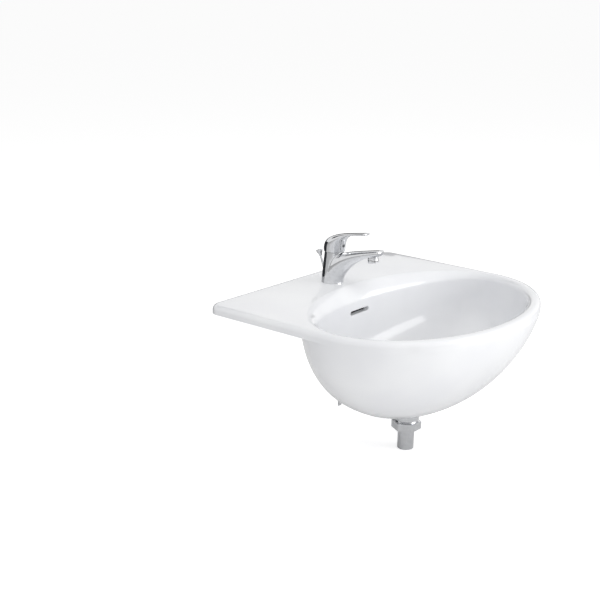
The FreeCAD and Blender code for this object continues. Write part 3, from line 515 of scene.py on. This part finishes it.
def roll_ring(settings, u, count):
    """A ring of the rim's roll, from its start at the rim to its foot in the bowl."""
    sine, cosine = math.sin(u * QUARTER_TURN), max(math.cos(u * QUARTER_TURN), 0.0)
    reaches = [start - width * sine ** (2 / full) for start, width, _, full in ROLLS]
    heights = [RIM_TOP - drop * (1 - cosine ** (2 / full)) for _, _, drop, full in ROLLS]
    return oval(settings, reaches, heights, count)


def wall_table(thickness=0.0):
    """Reaches and heights of the wall's control rows, moved outwards by thickness."""
    feet = [start - width for start, width, _, _ in ROLLS]
    rows = [(feet, [RIM_TOP - drop for _, _, drop, _ in ROLLS])]
    for side, front, rear, z in WALL:
        rows.append(([feet[0] - side, feet[1] - front, feet[2] - rear], [z] * 3))
    rows.append((FLOOR_REACHES, [FLOOR] * 3))
    return [([v + thickness for v in reach], [z - thickness for z in height])
            for reach, height in rows]


def wall_ring(settings, t, count):
    rows = wall_table()
    reaches = [bernstein([row[0][i] for row in rows], t) for i in range(3)]
    heights = [bernstein([row[1][i] for row in rows], t) for i in range(3)]
    return oval(settings, reaches, heights, count)


def row_ring(settings, rows, t, count):
    """A ring of a skin that rows of (side, front, rear, z) steer."""
    side, front, rear, z = (bernstein([row[i] for row in rows], t) for i in range(4))
    return oval(settings, (side, front, rear), (z, z, z), count)


def outline_ring(settings, inset, z, count):
    """The deck's outline, moved inwards by inset: straight back and sides, round front."""
    half, radius = settings.width / 2, settings.corner
    points = []
    quarter = count // 4
    straight, corner = round(quarter * 0.54), round(quarter * 0.22)
    back = quarter - straight - corner
    run = settings.centre - radius
    for i in range(quarter):
        if i < straight:
            points.append((half - inset, -settings.centre + run * i / straight))
        elif i < straight + corner:
            a = QUARTER_TURN * (i - straight) / corner
            points.append((half - radius + (radius - inset) * math.cos(a),
                           -radius + (radius - inset) * math.sin(a)))
        else:
            points.append(((half - radius) * (1 - (i - straight - corner) / back), -inset))
    rear = points + [(0.0, -inset)] + [(-x, y) for x, y in reversed(points[1:])]
    front = []
    for i in range(2 * quarter):
        a = math.pi + math.pi * i / (2 * quarter)
        c, s = math.cos(a), math.sin(a)
        normal = Vector((c / half, s / settings.front)).normalized()
        front.append((half * c - normal.x * inset,
                      -settings.centre + settings.front * s - normal.y * inset))
    return [Vector((x, y, z)) for x, y in rear + front]


def drain_ring(base, radius, z):
    """A circle round the drain whose points lie in line with those of another ring."""
    centre = Vector((0, WASTE_Y, 0))
    ring = []
    for point in base:
        away = Vector((point.x, point.y - WASTE_Y, 0)).normalized()
        ring.append(centre + away * radius + Vector((0, 0, z)))
    return ring


def slot_ring(settings, grow, count=64):
    """Points (x, z) round the overflow slot, grown outwards by grow."""
    radius = settings.slot_height / 2
    reach = settings.slot_width / 2 - radius
    ring = []
    for a in angles(count):
        shift = math.copysign(reach, math.cos(a + 1e-6))
        ring.append((shift + (radius + grow) * math.cos(a),
                     -settings.slot_drop + (radius + grow) * math.sin(a)))
    return ring


def slot_tool(settings, wall):
    """The overflow slot, with the soft edge that glaze gives it where it opens to the bowl."""
    tree = BVHTree.FromPolygons([v.co for v in wall.vertices],
                                [f.vertices for f in wall.polygons])
    edge = settings.slot_edge

    def opened(grow, depth):
        ring = []
        for x, z in slot_ring(settings, grow):
            hit = tree.ray_cast(Vector((x, -settings.centre, z)), Vector((0, 1, 0)))[0]
            ring.append(Vector((x, hit.y + depth, z)))
        return ring

    rings = [opened(edge, -0.004)]
    rings += [opened(edge * (1 - math.sin(a)), edge * (1 - math.cos(a)) - 1e-5)
              for a in steps_to(QUARTER_TURN, 6)]
    rings.append([Vector((x, SLOT_BACK, z)) for x, z in slot_ring(settings, 0.0)])
    return skinned("slot", rings)


def duct_half_width(z):
    """Half the width of the overflow's passage at a height."""
    (wide, high), (narrow, low) = DUCT_WIDE, DUCT_NARROW
    return min(max(wide + (z - high) * (wide - narrow) / (high - low), narrow), wide)


def duct_tool():
    right = ((DUCT_WIDE[0], DUCT_TOP), DUCT_WIDE, DUCT_NARROW, (DUCT_NARROW[0], DUCT_FOOT))
    corners = right + tuple((-x, z) for x, z in reversed(right))
    return skinned("duct", [[Vector((x, y, z)) for x, z in corners]
                            for y in (DUCT_FRONT, DUCT_BACK)])


def casing(front, rows):
    """The rounded china casing round the overflow's passage, through rows of height, inset."""
    middle, reach = (front + CASING_BACK) / 2, (CASING_BACK - front) / 2 - CASING_ROUND
    rings = []
    for z, inset in rows:
        ring = []
        for a in angles(48):
            c, s = math.cos(a), math.sin(a)
            x = math.copysign(LEG_HALF - CASING_ROUND, c) + (CASING_ROUND - inset) * c
            y = middle + math.copysign(reach, s) + (CASING_ROUND - inset) * s
            ring.append(Vector((x, y, z)))
        rings.append(ring)
    return skinned("casing", rings)


def casings():
    """The casing in three lengths, so that none of them reaches into the bowl."""
    foot = [(BOSS[0] + CASING_FOOT * (1 - math.cos(a)), CASING_FOOT * (1 - math.sin(a)))
            for a in steps_to(QUARTER_TURN, 6)]
    return [casing(-0.1380, [(-0.120, 0.0)] + CASING_SLOPE),
            casing(-0.1510, foot + [(-0.112, 0.0)]),
            casing(-0.1750, foot + [(-0.135, 0.0)])]


def china_skin(settings):
    """The basin's skin, from the drain up the bowl, over the rim and down the outside."""
    n = settings.rounds
    walls = [wall_ring(settings, WALL_SHARE - i * WALL_SHARE / 40, n) for i in range(40)]
    rings = [drain_ring(walls[0], radius, z) for radius, z in DRAIN_SEAT] + walls
    rings += [roll_ring(settings, 1 - t, n) for t in steps_to(1.0, 14)]
    edge = settings.rim_round
    for a in steps_to(QUARTER_TURN, 8):
        inset, drop = edge * (1 - math.sin(a)), edge * (1 - math.cos(a))
        rings.append(outline_ring(settings, inset, RIM_TOP - drop, n))
    rings.append(outline_ring(settings, 0.0, 0.0, n))
    rings += [row_ring(settings, OUTSIDE, t, n) for t in steps_to(1.0, 36)]
    return skinned("china", rings)


def china_space(settings):
    """The space between the bowl and the outer skin, open at the back."""
    n, turns = 96, steps_to(1.0, 20)
    outer = [(side - CHINA, front - CHINA, rear + SPACE_BACK, z + (CHINA if z < -0.01 else 0))
             for side, front, rear, z in OUTSIDE]
    space = skinned("space", [row_ring(settings, outer, t, n) for t in turns])
    rows = [(*reaches, min(heights)) for reaches, heights in wall_table(CHINA)]
    bowl = skinned("bowl", [row_ring(settings, rows, t, n) for t in turns])
    half = (-LEG_HALF, LEG_HALF)
    return combined(space, "DIFFERENCE", [
        box_tool((-0.6, 0.6), (-1.2, 0.6), (SPACE_TOP, 0.1)),
        bowl,
        disc_tool(0, WASTE_Y, *BOSS, BOSS_RADIUS),
        box_tool(half, (LEG_FRONT, LEG_BACK), (BOSS[0], LEG_TOP)),
        box_tool(half, (WASTE_Y, LEG_BACK), BOSS),
    ])


class BASIN_OT_china(bpy.types.Operator):
    """Builds the china with its rolled rim, dished back wall, overflow and hollow underside"""
    bl_idname = "basin.china"
    bl_label = "Glazed china"

    def execute(self, context):
        settings = context.scene.basin_china
        made = china_skin(settings)
        made.name = made.data.name = "basin_china"
        combined(made, "UNION", casings())
        narrow = DUCT_NARROW[0]
        combined(made, "DIFFERENCE", [
            china_space(settings),
            disc_tool(0, WASTE_Y, -0.192, -0.179, 0.050),  # opening in the skin under the boss
            disc_tool(0, WASTE_Y, -0.178, -0.142, 0.023),  # bore of the waste
            disc_tool(0, TAP_Y, -0.001, 0.018, 0.0175),  # tap hole
            disc_tool(0, TAP_Y, -0.002, 0.003, 0.030),  # recess for the tap's washers
            slot_tool(settings, made.data),
            duct_tool(),
            box_tool((-narrow, narrow), (WASTE_Y, DUCT_BACK), (DUCT_FOOT, DUCT_RUN)),
        ])
        shade(made, 30.0)
        dress(made, "basin", "glazed_china", "basin_body")
        self.paint_duct_shade(made.data)
        return {"FINISHED"}

    def paint_duct_shade(self, mesh):
        """Gives the faces of the overflow's passage the matt china whose near-black colour is
        painted shade.
        """
        mesh.materials.append(bpy.data.materials[PAINTED_SHADE_CHINA])
        near = 0.0001
        painted_shade_verts = {i for i, (x, y, z) in enumerate(v.co for v in mesh.vertices)
                  if abs(x) < duct_half_width(z) + 2 * near
                  and DUCT_FRONT - near < y < DUCT_BACK + near
                  and DUCT_FOOT - near < z < DUCT_TOP + near}
        for face in mesh.polygons:
            face.material_index = int(painted_shade_verts.issuperset(face.vertices))


# --- tap ------------------------------------------------------------------------------------
# Side views of the spout and the lever, from root to tip: millimetres forward of the handle's
# axis and above the ledge. The half widths are seen from above.
SPOUT_TOP = ((-24.5, 0.0), (-27.0, 56.0), (14.0, 63.5), (62.0, 72.0), (110.0, 82.0))
SPOUT_UNDER = ((18.5, 0.0), (24.0, 25.0), (55.0, 58.0), (108.0, 70.0))
SPOUT_HALF_WIDTHS = (21.5, 21.0, 18.0, 13.5, 12.0)
HANDLE_TOP = ((-20.8, 63.5), (-23.0, 97.0), (11.0, 98.5), (76.0, 110.0))
HANDLE_UNDER = ((21.5, 63.5), (22.0, 100.0), (36.0, 99.0), (76.0, 105.0))
HANDLE_HALF_WIDTHS = (20.8, 21.5, 23.0, 6.0, 9.5)
AERATOR_AXIS = Vector((0, -math.sin(math.radians(10)), -math.cos(math.radians(10))))
LIFT_LEAN = math.radians(20)
LIFT_AXIS = Vector((0, math.sin(LIFT_LEAN), math.cos(LIFT_LEAN)))
LIFT_SETBACK = 0.0135


def tap_point(reach, height):
    """A place in the tap's side view."""
    return Vector((0, HANDLE_Y - reach * MM, RIM_TOP + height * MM))


SPOUT_MOUTH = tap_point(92, 72)


def lift_point(height):
    """Where the lift rod's axis is at a height."""
    return Vector((0, TAP_Y + LIFT_SETBACK + (height - RIM_TOP) * math.tan(LIFT_LEAN), height))


def limb_ring(top, under, width, power, count=96):
    """An oval through a top and an under point of the side view. A higher power squares it."""
    middle = (tap_point(*top) + tap_point(*under)) / 2
    half = (tap_point(*top) - tap_point(*under)) / 2
    ring = []
    for a in angles(count):
        c, s = math.cos(a), math.sin(a)
        x = width * MM * math.copysign(abs(c) ** (2 / power), c)
        y = half * math.copysign(abs(s) ** (2 / power), s)
        ring.append(middle + Vector((x, 0, 0)) + y)
    return ring


def limb(name, top_line, under_line, widths, nose, stagger, power, steps=44):
    """A limb that narrows from a round root to a rounded tip along two side-view lines."""
    rings = []
    for t in steps_to(1.0, steps):
        trail = t - stagger * t ** 3 * (1 - t)
        top = [bernstein(values, t) for values in zip(*top_line)]
        under = [bernstein(values, trail) for values in zip(*under_line)]
        width = bernstein(widths, t)
        rings.append(limb_ring(top, under, width, 2.0 + (power - 2.0) * t * t))
    half = [(a - b) / 2 for a, b in zip(top, under)]
    middle = [(a + b) / 2 for a, b in zip(top, under)]
    size = math.hypot(*half)
    ahead = (half[1] / size * nose, -half[0] / size * nose)
    for a in steps_to(math.radians(80), 8)[1:]:
        s, c = math.sin(a), math.cos(a)
        centre = [m + step * s for m, step in zip(middle, ahead)]
        ends = [[m + k * h * c for m, h in zip(centre, half)] for k in (1, -1)]
        rings.append(limb_ring(*ends, width * (0.35 + 0.65 * c), power))
    return skinned(name, rings)


class BASIN_OT_tap(bpy.types.Operator):
    """Casts the tap's body: a round column that a swept spout grows out of, and its bores"""
    bl_idname = "basin.tap"
    bl_label = "Tap body"

    def execute(self, context):
        settings = context.scene.basin_tap
        made = self.casting(settings)
        combined(made, "DIFFERENCE", self.bores(settings))
        shade(made, 30.0)
        dress(made, "basin", "polished_chrome", "tap_body")
        return {"FINISHED"}

    def casting(self, settings):
        rings = []
        for t in (-0.06, 0.0, 0.5, 1.0, 1.06):
            middle = Vector((0, TAP_Y + (HANDLE_Y - TAP_Y) * t, RIM_TOP + settings.body * t))
            radius = settings.foot + (settings.neck - settings.foot) * t
            rings.append([middle + Vector((radius * math.cos(a), radius * math.sin(a), 0))
                          for a in angles(96)])
        made = skinned("tap_casting", rings)
        spout = limb("spout", SPOUT_TOP, SPOUT_UNDER, SPOUT_HALF_WIDTHS, 4.5, 0.0, 2.8)
        boss = line_tool(SPOUT_MOUTH, AERATOR_AXIS, 0.0, 0.0065, 0.0108)
        combined(made, "UNION", [spout, boss])
        skin = made.modifiers.new("skin", "REMESH")
        skin.mode, skin.voxel_size = "VOXEL", settings.grid
        flow = made.modifiers.new("flow", "SMOOTH")
        flow.factor, flow.iterations = 0.5, settings.blend
        return settle(made)

    def bores(self, settings):
        top = RIM_TOP + settings.body
        start, end = tap_point(12, 43), tap_point(88, 70.5)
        groove = [(0.0186, 0.016), (0.021, 0.016), (0.021, 0.0185), (0.0186, 0.0185)]
        return [
            box_tool((-0.06, 0.06), (-0.30, 0.05), (RIM_TOP - 0.03, RIM_TOP)),  # flat foot
            disc_tool(0, HANDLE_Y, top, top + 0.02, 0.024),  # flat top
            disc_tool(0, HANDLE_Y, 0.048, top + 0.001, 0.0131, 96),  # cartridge
            disc_tool(0, HANDLE_Y, 0.075, top + 0.0012, 0.0158, 96),  # its nut
            line_tool(start, end - start, 0.0, (end - start).length, 0.0045),  # waterway
            line_tool(SPOUT_MOUTH, AERATOR_AXIS, -0.0015, 0.0075, 0.0090),  # aerator's thread
            line_tool(SPOUT_MOUTH, AERATOR_AXIS, 0.0065, 0.0400, 0.0107, 96),  # its collar
            turned("groove", groove, (0, TAP_Y, 0), steps=96),  # seal under the foot
            disc_tool(0, TAP_Y - 0.010, 0.016, 0.031, 0.004),  # fixing stud
            line_tool(lift_point(0.010), LIFT_AXIS, 0.0, 0.075, 0.00225),  # lift rod
            disc_tool(-0.0095, TAP_Y + 0.003, 0.0161, 0.0485, 0.0045),  # hot inlet
            disc_tool(0.0095, TAP_Y + 0.003, 0.0161, 0.0485, 0.0045),  # cold inlet
        ]


class BASIN_OT_lever(bpy.types.Operator):
    """Casts the lever that sits on the cartridge's stem like a dome and ends in a thin blade"""
    bl_idname = "basin.lever"
    bl_label = "Lever handle"

    def execute(self, context):
        made = limb("lever", HANDLE_TOP, HANDLE_UNDER, HANDLE_HALF_WIDTHS, 3.0, 1.4, 2.6, 60)
        screw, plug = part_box("handle_grub_screw"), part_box("handle_plug")
        start, forward = (0, HANDLE_Y, (plug[0].z + plug[1].z) / 2), (0, -1, 0)
        combined(made, "DIFFERENCE", [
            disc_tool(0, HANDLE_Y, 0.0795, 0.0905, 0.0198, 96),  # room over the cartridge
            disc_tool(0, HANDLE_Y, 0.0900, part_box("cartridge_stem")[1].z, 0.0040),  # stem
            line_tool(start, forward, 0.003, HANDLE_Y - plug[0].y, (screw[1].x - screw[0].x) / 2),
            line_tool(start, forward, HANDLE_Y - plug[1].y, 0.040, (plug[1].x - plug[0].x) / 2,
                      48),
        ])
        shade(made, 34.0)
        dress(made, "handle", "polished_chrome", "lever_handle")
        return {"FINISHED"}


class BASIN_OT_trim(bpy.types.Operator):
    """Turns the tap's small chrome pieces: aerator housing, dome ring, lift rod and its knob"""
    bl_idname = "basin.trim"
    bl_label = "Chrome trim"

    def execute(self, context):
        housing = turned("aerator", ring_profile(
            (7.5, 0), (8.9, 0), (8.9, 6.5), (10.5, 6.5), (10.5, 8.2), (10.1, 8.5), (10.1, 9.1),
            (10.5, 9.4), (10.5, 17), (7.5, 17)), SPOUT_MOUTH, AERATOR_AXIS, 96)
        dome = turned("dome", ring_profile((16, 0), (18.6, 0), (16.6, 3.2), (16, 3.2)),
                      (0, HANDLE_Y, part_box("dome_ring")[0].z), steps=128)
        knob = turned("knob", ring_profile(
            (2.0, 0), (2.9, 0), (3.1, 1.2), (3.5, 3.0), (6.3, 10.0), (6.3, 11.8), (5.4, 12.8),
            (3.0, 13.0), (0, 13.0), (0, 4.0), (2.0, 4.0)), lift_point(0.064), LIFT_AXIS, 72)
        low, high = lift_point(-0.081), lift_point(0.068)
        reach = (high - low).length / MM
        rod = turned("rod", ring_profile((0, 0), (1.6, 0), (2.0, 0.4), (2.0, reach), (0, reach)),
                     low, LIFT_AXIS, 48)
        for piece, width, body, node in (
                (housing, 0.0004, "basin", "aerator_housing"),
                (dome, 0.0003, "basin", "dome_ring"),
                (knob, 0.0003, "lift_rod", "lift_knob"),
        ):
            dress(shade(eased(piece, width), 50), body, "polished_chrome", node)
        dress(shade(rod, 50), "lift_rod", "polished_chrome", "lift_rod")
        return {"FINISHED"}


# --- waste ----------------------------------------------------------------------------------
class BASIN_OT_waste(bpy.types.Operator):
    """Turns the visible pieces of the pop-up waste: cap, flange, tee, tailpiece and stud"""
    bl_idname = "basin.waste"
    bl_label = "Pop-up waste"

    def execute(self, context):
        dress(shade(self.cap(), 40), "plug", "polished_chrome", "plug_cap")
        flange = eased(self.flange(), 0.0002, 60)
        dress(shade(flange, 40), "basin", "polished_chrome", "waste_flange")
        dress(shade(self.tee(), 30), "basin", "polished_chrome", "waste_tee")
        dress(shade(self.tail(), 50), "basin", "polished_chrome", "tailpiece")
        dress(shade(self.stud(), 30), "basin", "stainless_steel", "fixing_stud")
        return {"FINISHED"}

    def round_the_waste(self, name, *profile):
        return turned(name, ring_profile(*profile), (0, WASTE_Y, 0), steps=96)

    def cap(self):
        """A flat-edged cap with a shallow crown, the top of a ball of 74 mm radius."""
        base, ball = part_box("plug_cap")[0].z / MM, 74.0
        crown = [(ball * math.sin(a), base + 2.0 + ball * math.cos(a) - 70.94)
                 for a in steps_to(math.asin(20.6 / ball), 10)]
        return self.round_the_waste("cap", (0, base), (20.4, base), (21.0, base + 0.5),
                                    (21.0, base + 1.7), *reversed(crown))

    def flange(self):
        made = self.round_the_waste(
            "flange", (17.5, -190), (20.9, -190), (20.9, -142), (31.6, -142), (32.0, -141.4),
            (31.6, -140.4), (30.0, -139.5), (27.0, -139.0), (22.6, -139.0), (22.0, -139.4),
            (22.0, -141), (18.1, -141), (17.5, -141.6))
        slots = box_tool((-0.007, 0.007), (WASTE_Y - 0.042, WASTE_Y + 0.042),
                         (DUCT_FOOT, DUCT_RUN))
        return combined(made, "DIFFERENCE", [slots])

    def tee(self):
        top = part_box("waste_tee")[1].z / MM
        made = self.round_the_waste(
            "tee", *threaded(21.0, top - 50, top - 38.5), (21.4, top - 38.0), (23.4, top - 38.0),
            (24.0, top - 37.4), (24.0, top - 6.2), (23.5, top - 5.8), (23.5, top - 4.8),
            (24.0, top - 4.4), (24.0, top - 0.6), (23.4, top), (20.9, top), (20.9, -190),
            (17.5, -190), (17.5, top - 50))
        low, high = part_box("pivot_inner_seat")
        port, backward = (0, WASTE_Y, low.z / 2 + high.z / 2), (0, 1, 0)
        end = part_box("waste_tee")[1].y - WASTE_Y
        combined(made, "UNION", [line_tool(port, backward, 0.0190, end, 0.012, 64)])
        return combined(made, "DIFFERENCE", [
            line_tool(port, backward, 0.0, end, 0.006, 48),
            line_tool(port, backward, low.y - WASTE_Y, end + 0.001, 0.008, 64),
        ])

    def tail(self):
        low, high = (corner.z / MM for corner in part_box("tailpiece"))
        return self.round_the_waste(
            "tail", (14.5, low + 0.3), (14.9, low), (15.6, low), (16.0, low + 0.4),
            (16.0, high - 12), (19.5, high - 12), (19.5, high - 9), (16.0, high - 9),
            (16.0, high), (14.5, high))

    def stud(self):
        low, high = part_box("fixing_stud")
        start, stop = low.z / MM, high.z / MM
        return turned("stud", ring_profile(
            (0, start), (3.2, start), *threaded(4.0, start + 0.4, stop - 0.4, 1.25), (3.2, stop),
            (0, stop)), (0, (low.y + high.y) / 2, 0), steps=48)


# --- finishes -------------------------------------------------------------------------------
def smoothing_nodes():
    """A modifier that closes a node's loose triangles and shades its round faces smooth."""
    tree = bpy.data.node_groups.new("round_faces", "GeometryNodeTree")
    for way in ("INPUT", "OUTPUT"):
        tree.interface.new_socket("Geometry", in_out=way, socket_type="NodeSocketGeometry")
    given = add(tree, "NodeGroupInput").outputs["Geometry"]
    closed = add(tree, "GeometryNodeMergeByDistance", [("Geometry", given), ("Distance", WELD)])
    soft = add(tree, "GeometryNodeSetShadeSmooth", [("Geometry", closed.outputs["Geometry"])])
    angle = add(tree, "GeometryNodeInputMeshEdgeAngle").outputs["Unsigned Angle"]
    sharp = add(tree, "FunctionNodeCompare", [("A", angle), ("B", math.radians(32))],
                operation="GREATER_THAN")
    edges = add(tree, "GeometryNodeSetShadeSmooth",
                [("Geometry", soft.outputs["Geometry"]), ("Selection", sharp.outputs["Result"]),
                 ("Shade Smooth", False)], domain="EDGE")
    add(tree, "NodeGroupOutput", [("Geometry", edges.outputs["Geometry"])])
    return tree


class BASIN_OT_finishes(bpy.types.Operator):
    """Makes the materials and gives every CAD node the one of its slot"""
    bl_idname = "basin.finishes"
    bl_label = "Finishes"

    def execute(self, context):
        vitreous_china(context.scene.basin_china)
        polished_chrome(context.scene.basin_tap)
        turned_brass()
        stainless_steel()
        for name in GRAINED:
            grained(name)
        rounding = smoothing_nodes()
        for part in frame["record"]["subparts"]:
            node = frame["nodes"][part["node"]]
            for slot in node.material_slots:
                slot.material = material_of(part["material_slot"])
            node.modifiers.new("round_faces", "NODES").node_group = rounding
        return {"FINISHED"}


# --- stage ----------------------------------------------------------------------------------
FLOOR_RADIUS = 40.0
FLOOR_GLOW = 0.52
SKY_ON_OBJECT, SKY_SEEN = 0.50, 1.0
CARD_COLOUR = "#38393C"
CARDS = (
    ("card_behind", ((-0.40, 0.56, -0.28), (0.80, 0.42, -0.28), (0.80, 0.42, 0.15),
                     (-0.40, 0.56, 0.15))),
    ("card_far", ((3.10, 0.70, 0.05), (0.90, 3.00, 0.05), (0.90, 3.00, 0.52),
                  (3.10, 0.70, 0.52))),
    ("card_front", ((-0.42, -0.77, -0.28), (-0.34, -0.81, -0.28), (-0.34, -0.81, 0.45),
                    (-0.42, -0.77, 0.45))),
    ("card_high", ((0.90, 1.20, 0.95), (-0.60, 1.20, 0.95), (-0.60, 1.10, 1.35),
                   (0.90, 1.10, 1.35))),
)
# Soft lamps: name, place, what they point at, size, watts, and whether reflections show them.
LAMPS = (
    ("key", (1.2, -2.3, 0.8), (0, -0.3, -0.05), (2.0, 1.6), 31.0, True),
    ("fill", (-1.6, -2.2, 0.5), (0, -0.4, -0.1), (1.6, 1.2), 14.0, False),
    ("top", (-0.5, 0.3, 2.0), (0, -0.15, 0), (1.6, 1.6), 15.0, False),
)


def matt(tree, hex_colour):
    return add(tree, "ShaderNodeBsdfDiffuse", [("Color", linear(hex_colour))]).outputs["BSDF"]


class BASIN_OT_stage(bpy.types.Operator):
    """Sets the floor, the soft lights, the white surround and the camera"""
    bl_idname = "basin.stage"
    bl_label = "Stage"

    def execute(self, context):
        scene, settings = context.scene, context.scene.basin_stage
        scene.view_settings.view_transform = "Standard"
        self.floor(settings)
        self.surround(scene)
        self.cards()
        for lamp in LAMPS:
            self.area_light(scene, *lamp)
        self.camera(scene, settings)
        return {"FINISHED"}

    def floor(self, settings):
        bm = bmesh.new()
        bmesh.ops.create_circle(bm, cap_ends=True, segments=64, radius=FLOOR_RADIUS)
        bmesh.ops.translate(bm, vec=(0, 0, settings.floor), verts=bm.verts)
        made = finished("floor", bm)
        material = bpy.data.materials.new("floor_pale")
        tree = emptied(material)
        seen = add(tree, "ShaderNodeLightPath").outputs["Is Camera Ray"]
        lift = add(tree, "ShaderNodeMath", [(0, seen), (1, FLOOR_GLOW)], operation="MULTIPLY")
        glow = add(tree, "ShaderNodeEmission", [("Strength", lift.outputs["Value"])])
        both = add(tree, "ShaderNodeAddShader",
                   [(0, matt(tree, settings.floor_colour)), (1, glow.outputs["Emission"])])
        add(tree, "ShaderNodeOutputMaterial", [("Surface", both.outputs["Shader"])])
        made.data.materials.append(material)

    def surround(self, scene):
        """A white world that the camera and reflections see at full strength."""
        scene.world = bpy.data.worlds.new("surround")
        tree = emptied(scene.world)
        path = add(tree, "ShaderNodeLightPath").outputs
        seen = path["Is Camera Ray"]
        for ray in ("Is Glossy Ray", "Is Transmission Ray"):
            seen = add(tree, "ShaderNodeMath", [(0, seen), (1, path[ray])],
                       operation="MAXIMUM").outputs["Value"]
        strength = add(tree, "ShaderNodeMapRange",
                       [("Value", seen), ("To Min", SKY_ON_OBJECT), ("To Max", SKY_SEEN)])
        sky = add(tree, "ShaderNodeBackground",
                  [("Color", linear("#FFFFFF")), ("Strength", strength.outputs["Result"])])
        add(tree, "ShaderNodeOutputWorld", [("Surface", sky.outputs["Background"])])

    def cards(self):
        """Dark boards that only reflections see, so chrome has something to mirror."""
        material = bpy.data.materials.new("card_dark")
        tree = emptied(material)
        add(tree, "ShaderNodeOutputMaterial", [("Surface", matt(tree, CARD_COLOUR))])
        for name, corners in CARDS:
            bm = bmesh.new()
            bmesh.ops.contextual_create(bm, geom=[bm.verts.new(corner) for corner in corners])
            card = finished(name, bm)
            card.data.materials.append(material)
            card.visible_camera = card.visible_diffuse = card.visible_shadow = False

    def area_light(self, scene, name, place, target, size, power, mirrored):
        data = bpy.data.lights.new(name, "AREA")
        data.shape, data.size, data.size_y, data.energy = "RECTANGLE", *size, power
        lamp = bpy.data.objects.new(name, data)
        scene.collection.objects.link(lamp)
        lamp.location = place
        towards = Vector(target) - Vector(place)
        lamp.rotation_euler = towards.to_track_quat("-Z", "Y").to_euler()
        lamp.visible_glossy = mirrored

    def camera(self, scene, settings):
        azimuth, elevation, roll = settings.turn
        back = Vector((math.sin(azimuth) * math.cos(elevation),
                       -math.cos(azimuth) * math.cos(elevation), math.sin(elevation)))
        right = Vector((math.cos(azimuth), math.sin(azimuth), 0))
        up = back.cross(right)
        across = right * math.cos(roll) + up * math.sin(roll)
        upright = up * math.cos(roll) - right * math.sin(roll)
        data = bpy.data.cameras.new("camera")
        data.sensor_width, data.lens = 36.0, settings.lens
        data.clip_start, data.clip_end = 0.05, 200.0
        made = bpy.data.objects.new("camera", data)
        scene.collection.objects.link(made)
        turn = Matrix((across, upright, back)).transposed().to_4x4()
        made.matrix_world = Matrix.Translation(settings.camera) @ turn
        scene.camera = made


# --- add-on ---------------------------------------------------------------------------------
STEPS = (BASIN_OT_finishes, BASIN_OT_china, BASIN_OT_tap, BASIN_OT_lever, BASIN_OT_trim,
         BASIN_OT_waste, BASIN_OT_stage)
GROUPS = {"basin_china": ChinaSettings, "basin_tap": TapSettings, "basin_stage": StageSettings}


class BASIN_PT_pieces(bpy.types.Panel):
    """Lists the pieces that can be built"""
    bl_idname = "BASIN_PT_pieces"
    bl_label = "Semi recessed basin"
    bl_space_type = "VIEW_3D"
    bl_region_type = "UI"
    bl_category = "Basin"

    def draw(self, context):
        for step in STEPS:
            self.layout.operator(step.bl_idname)


CLASSES = (*GROUPS.values(), *STEPS, BASIN_PT_pieces)


def register():
    for cls in CLASSES:
        bpy.utils.register_class(cls)
    for name, group in GROUPS.items():
        setattr(bpy.types.Scene, name, PointerProperty(type=group))


def unregister():
    for name in GROUPS:
        delattr(bpy.types.Scene, name)
    for cls in reversed(CLASSES):
        bpy.utils.unregister_class(cls)


def main():
    register()
    for step in STEPS:
        family, name = step.bl_idname.split(".")
        getattr(getattr(bpy.ops, family), name)()


if __name__ == "__main__":
    main()
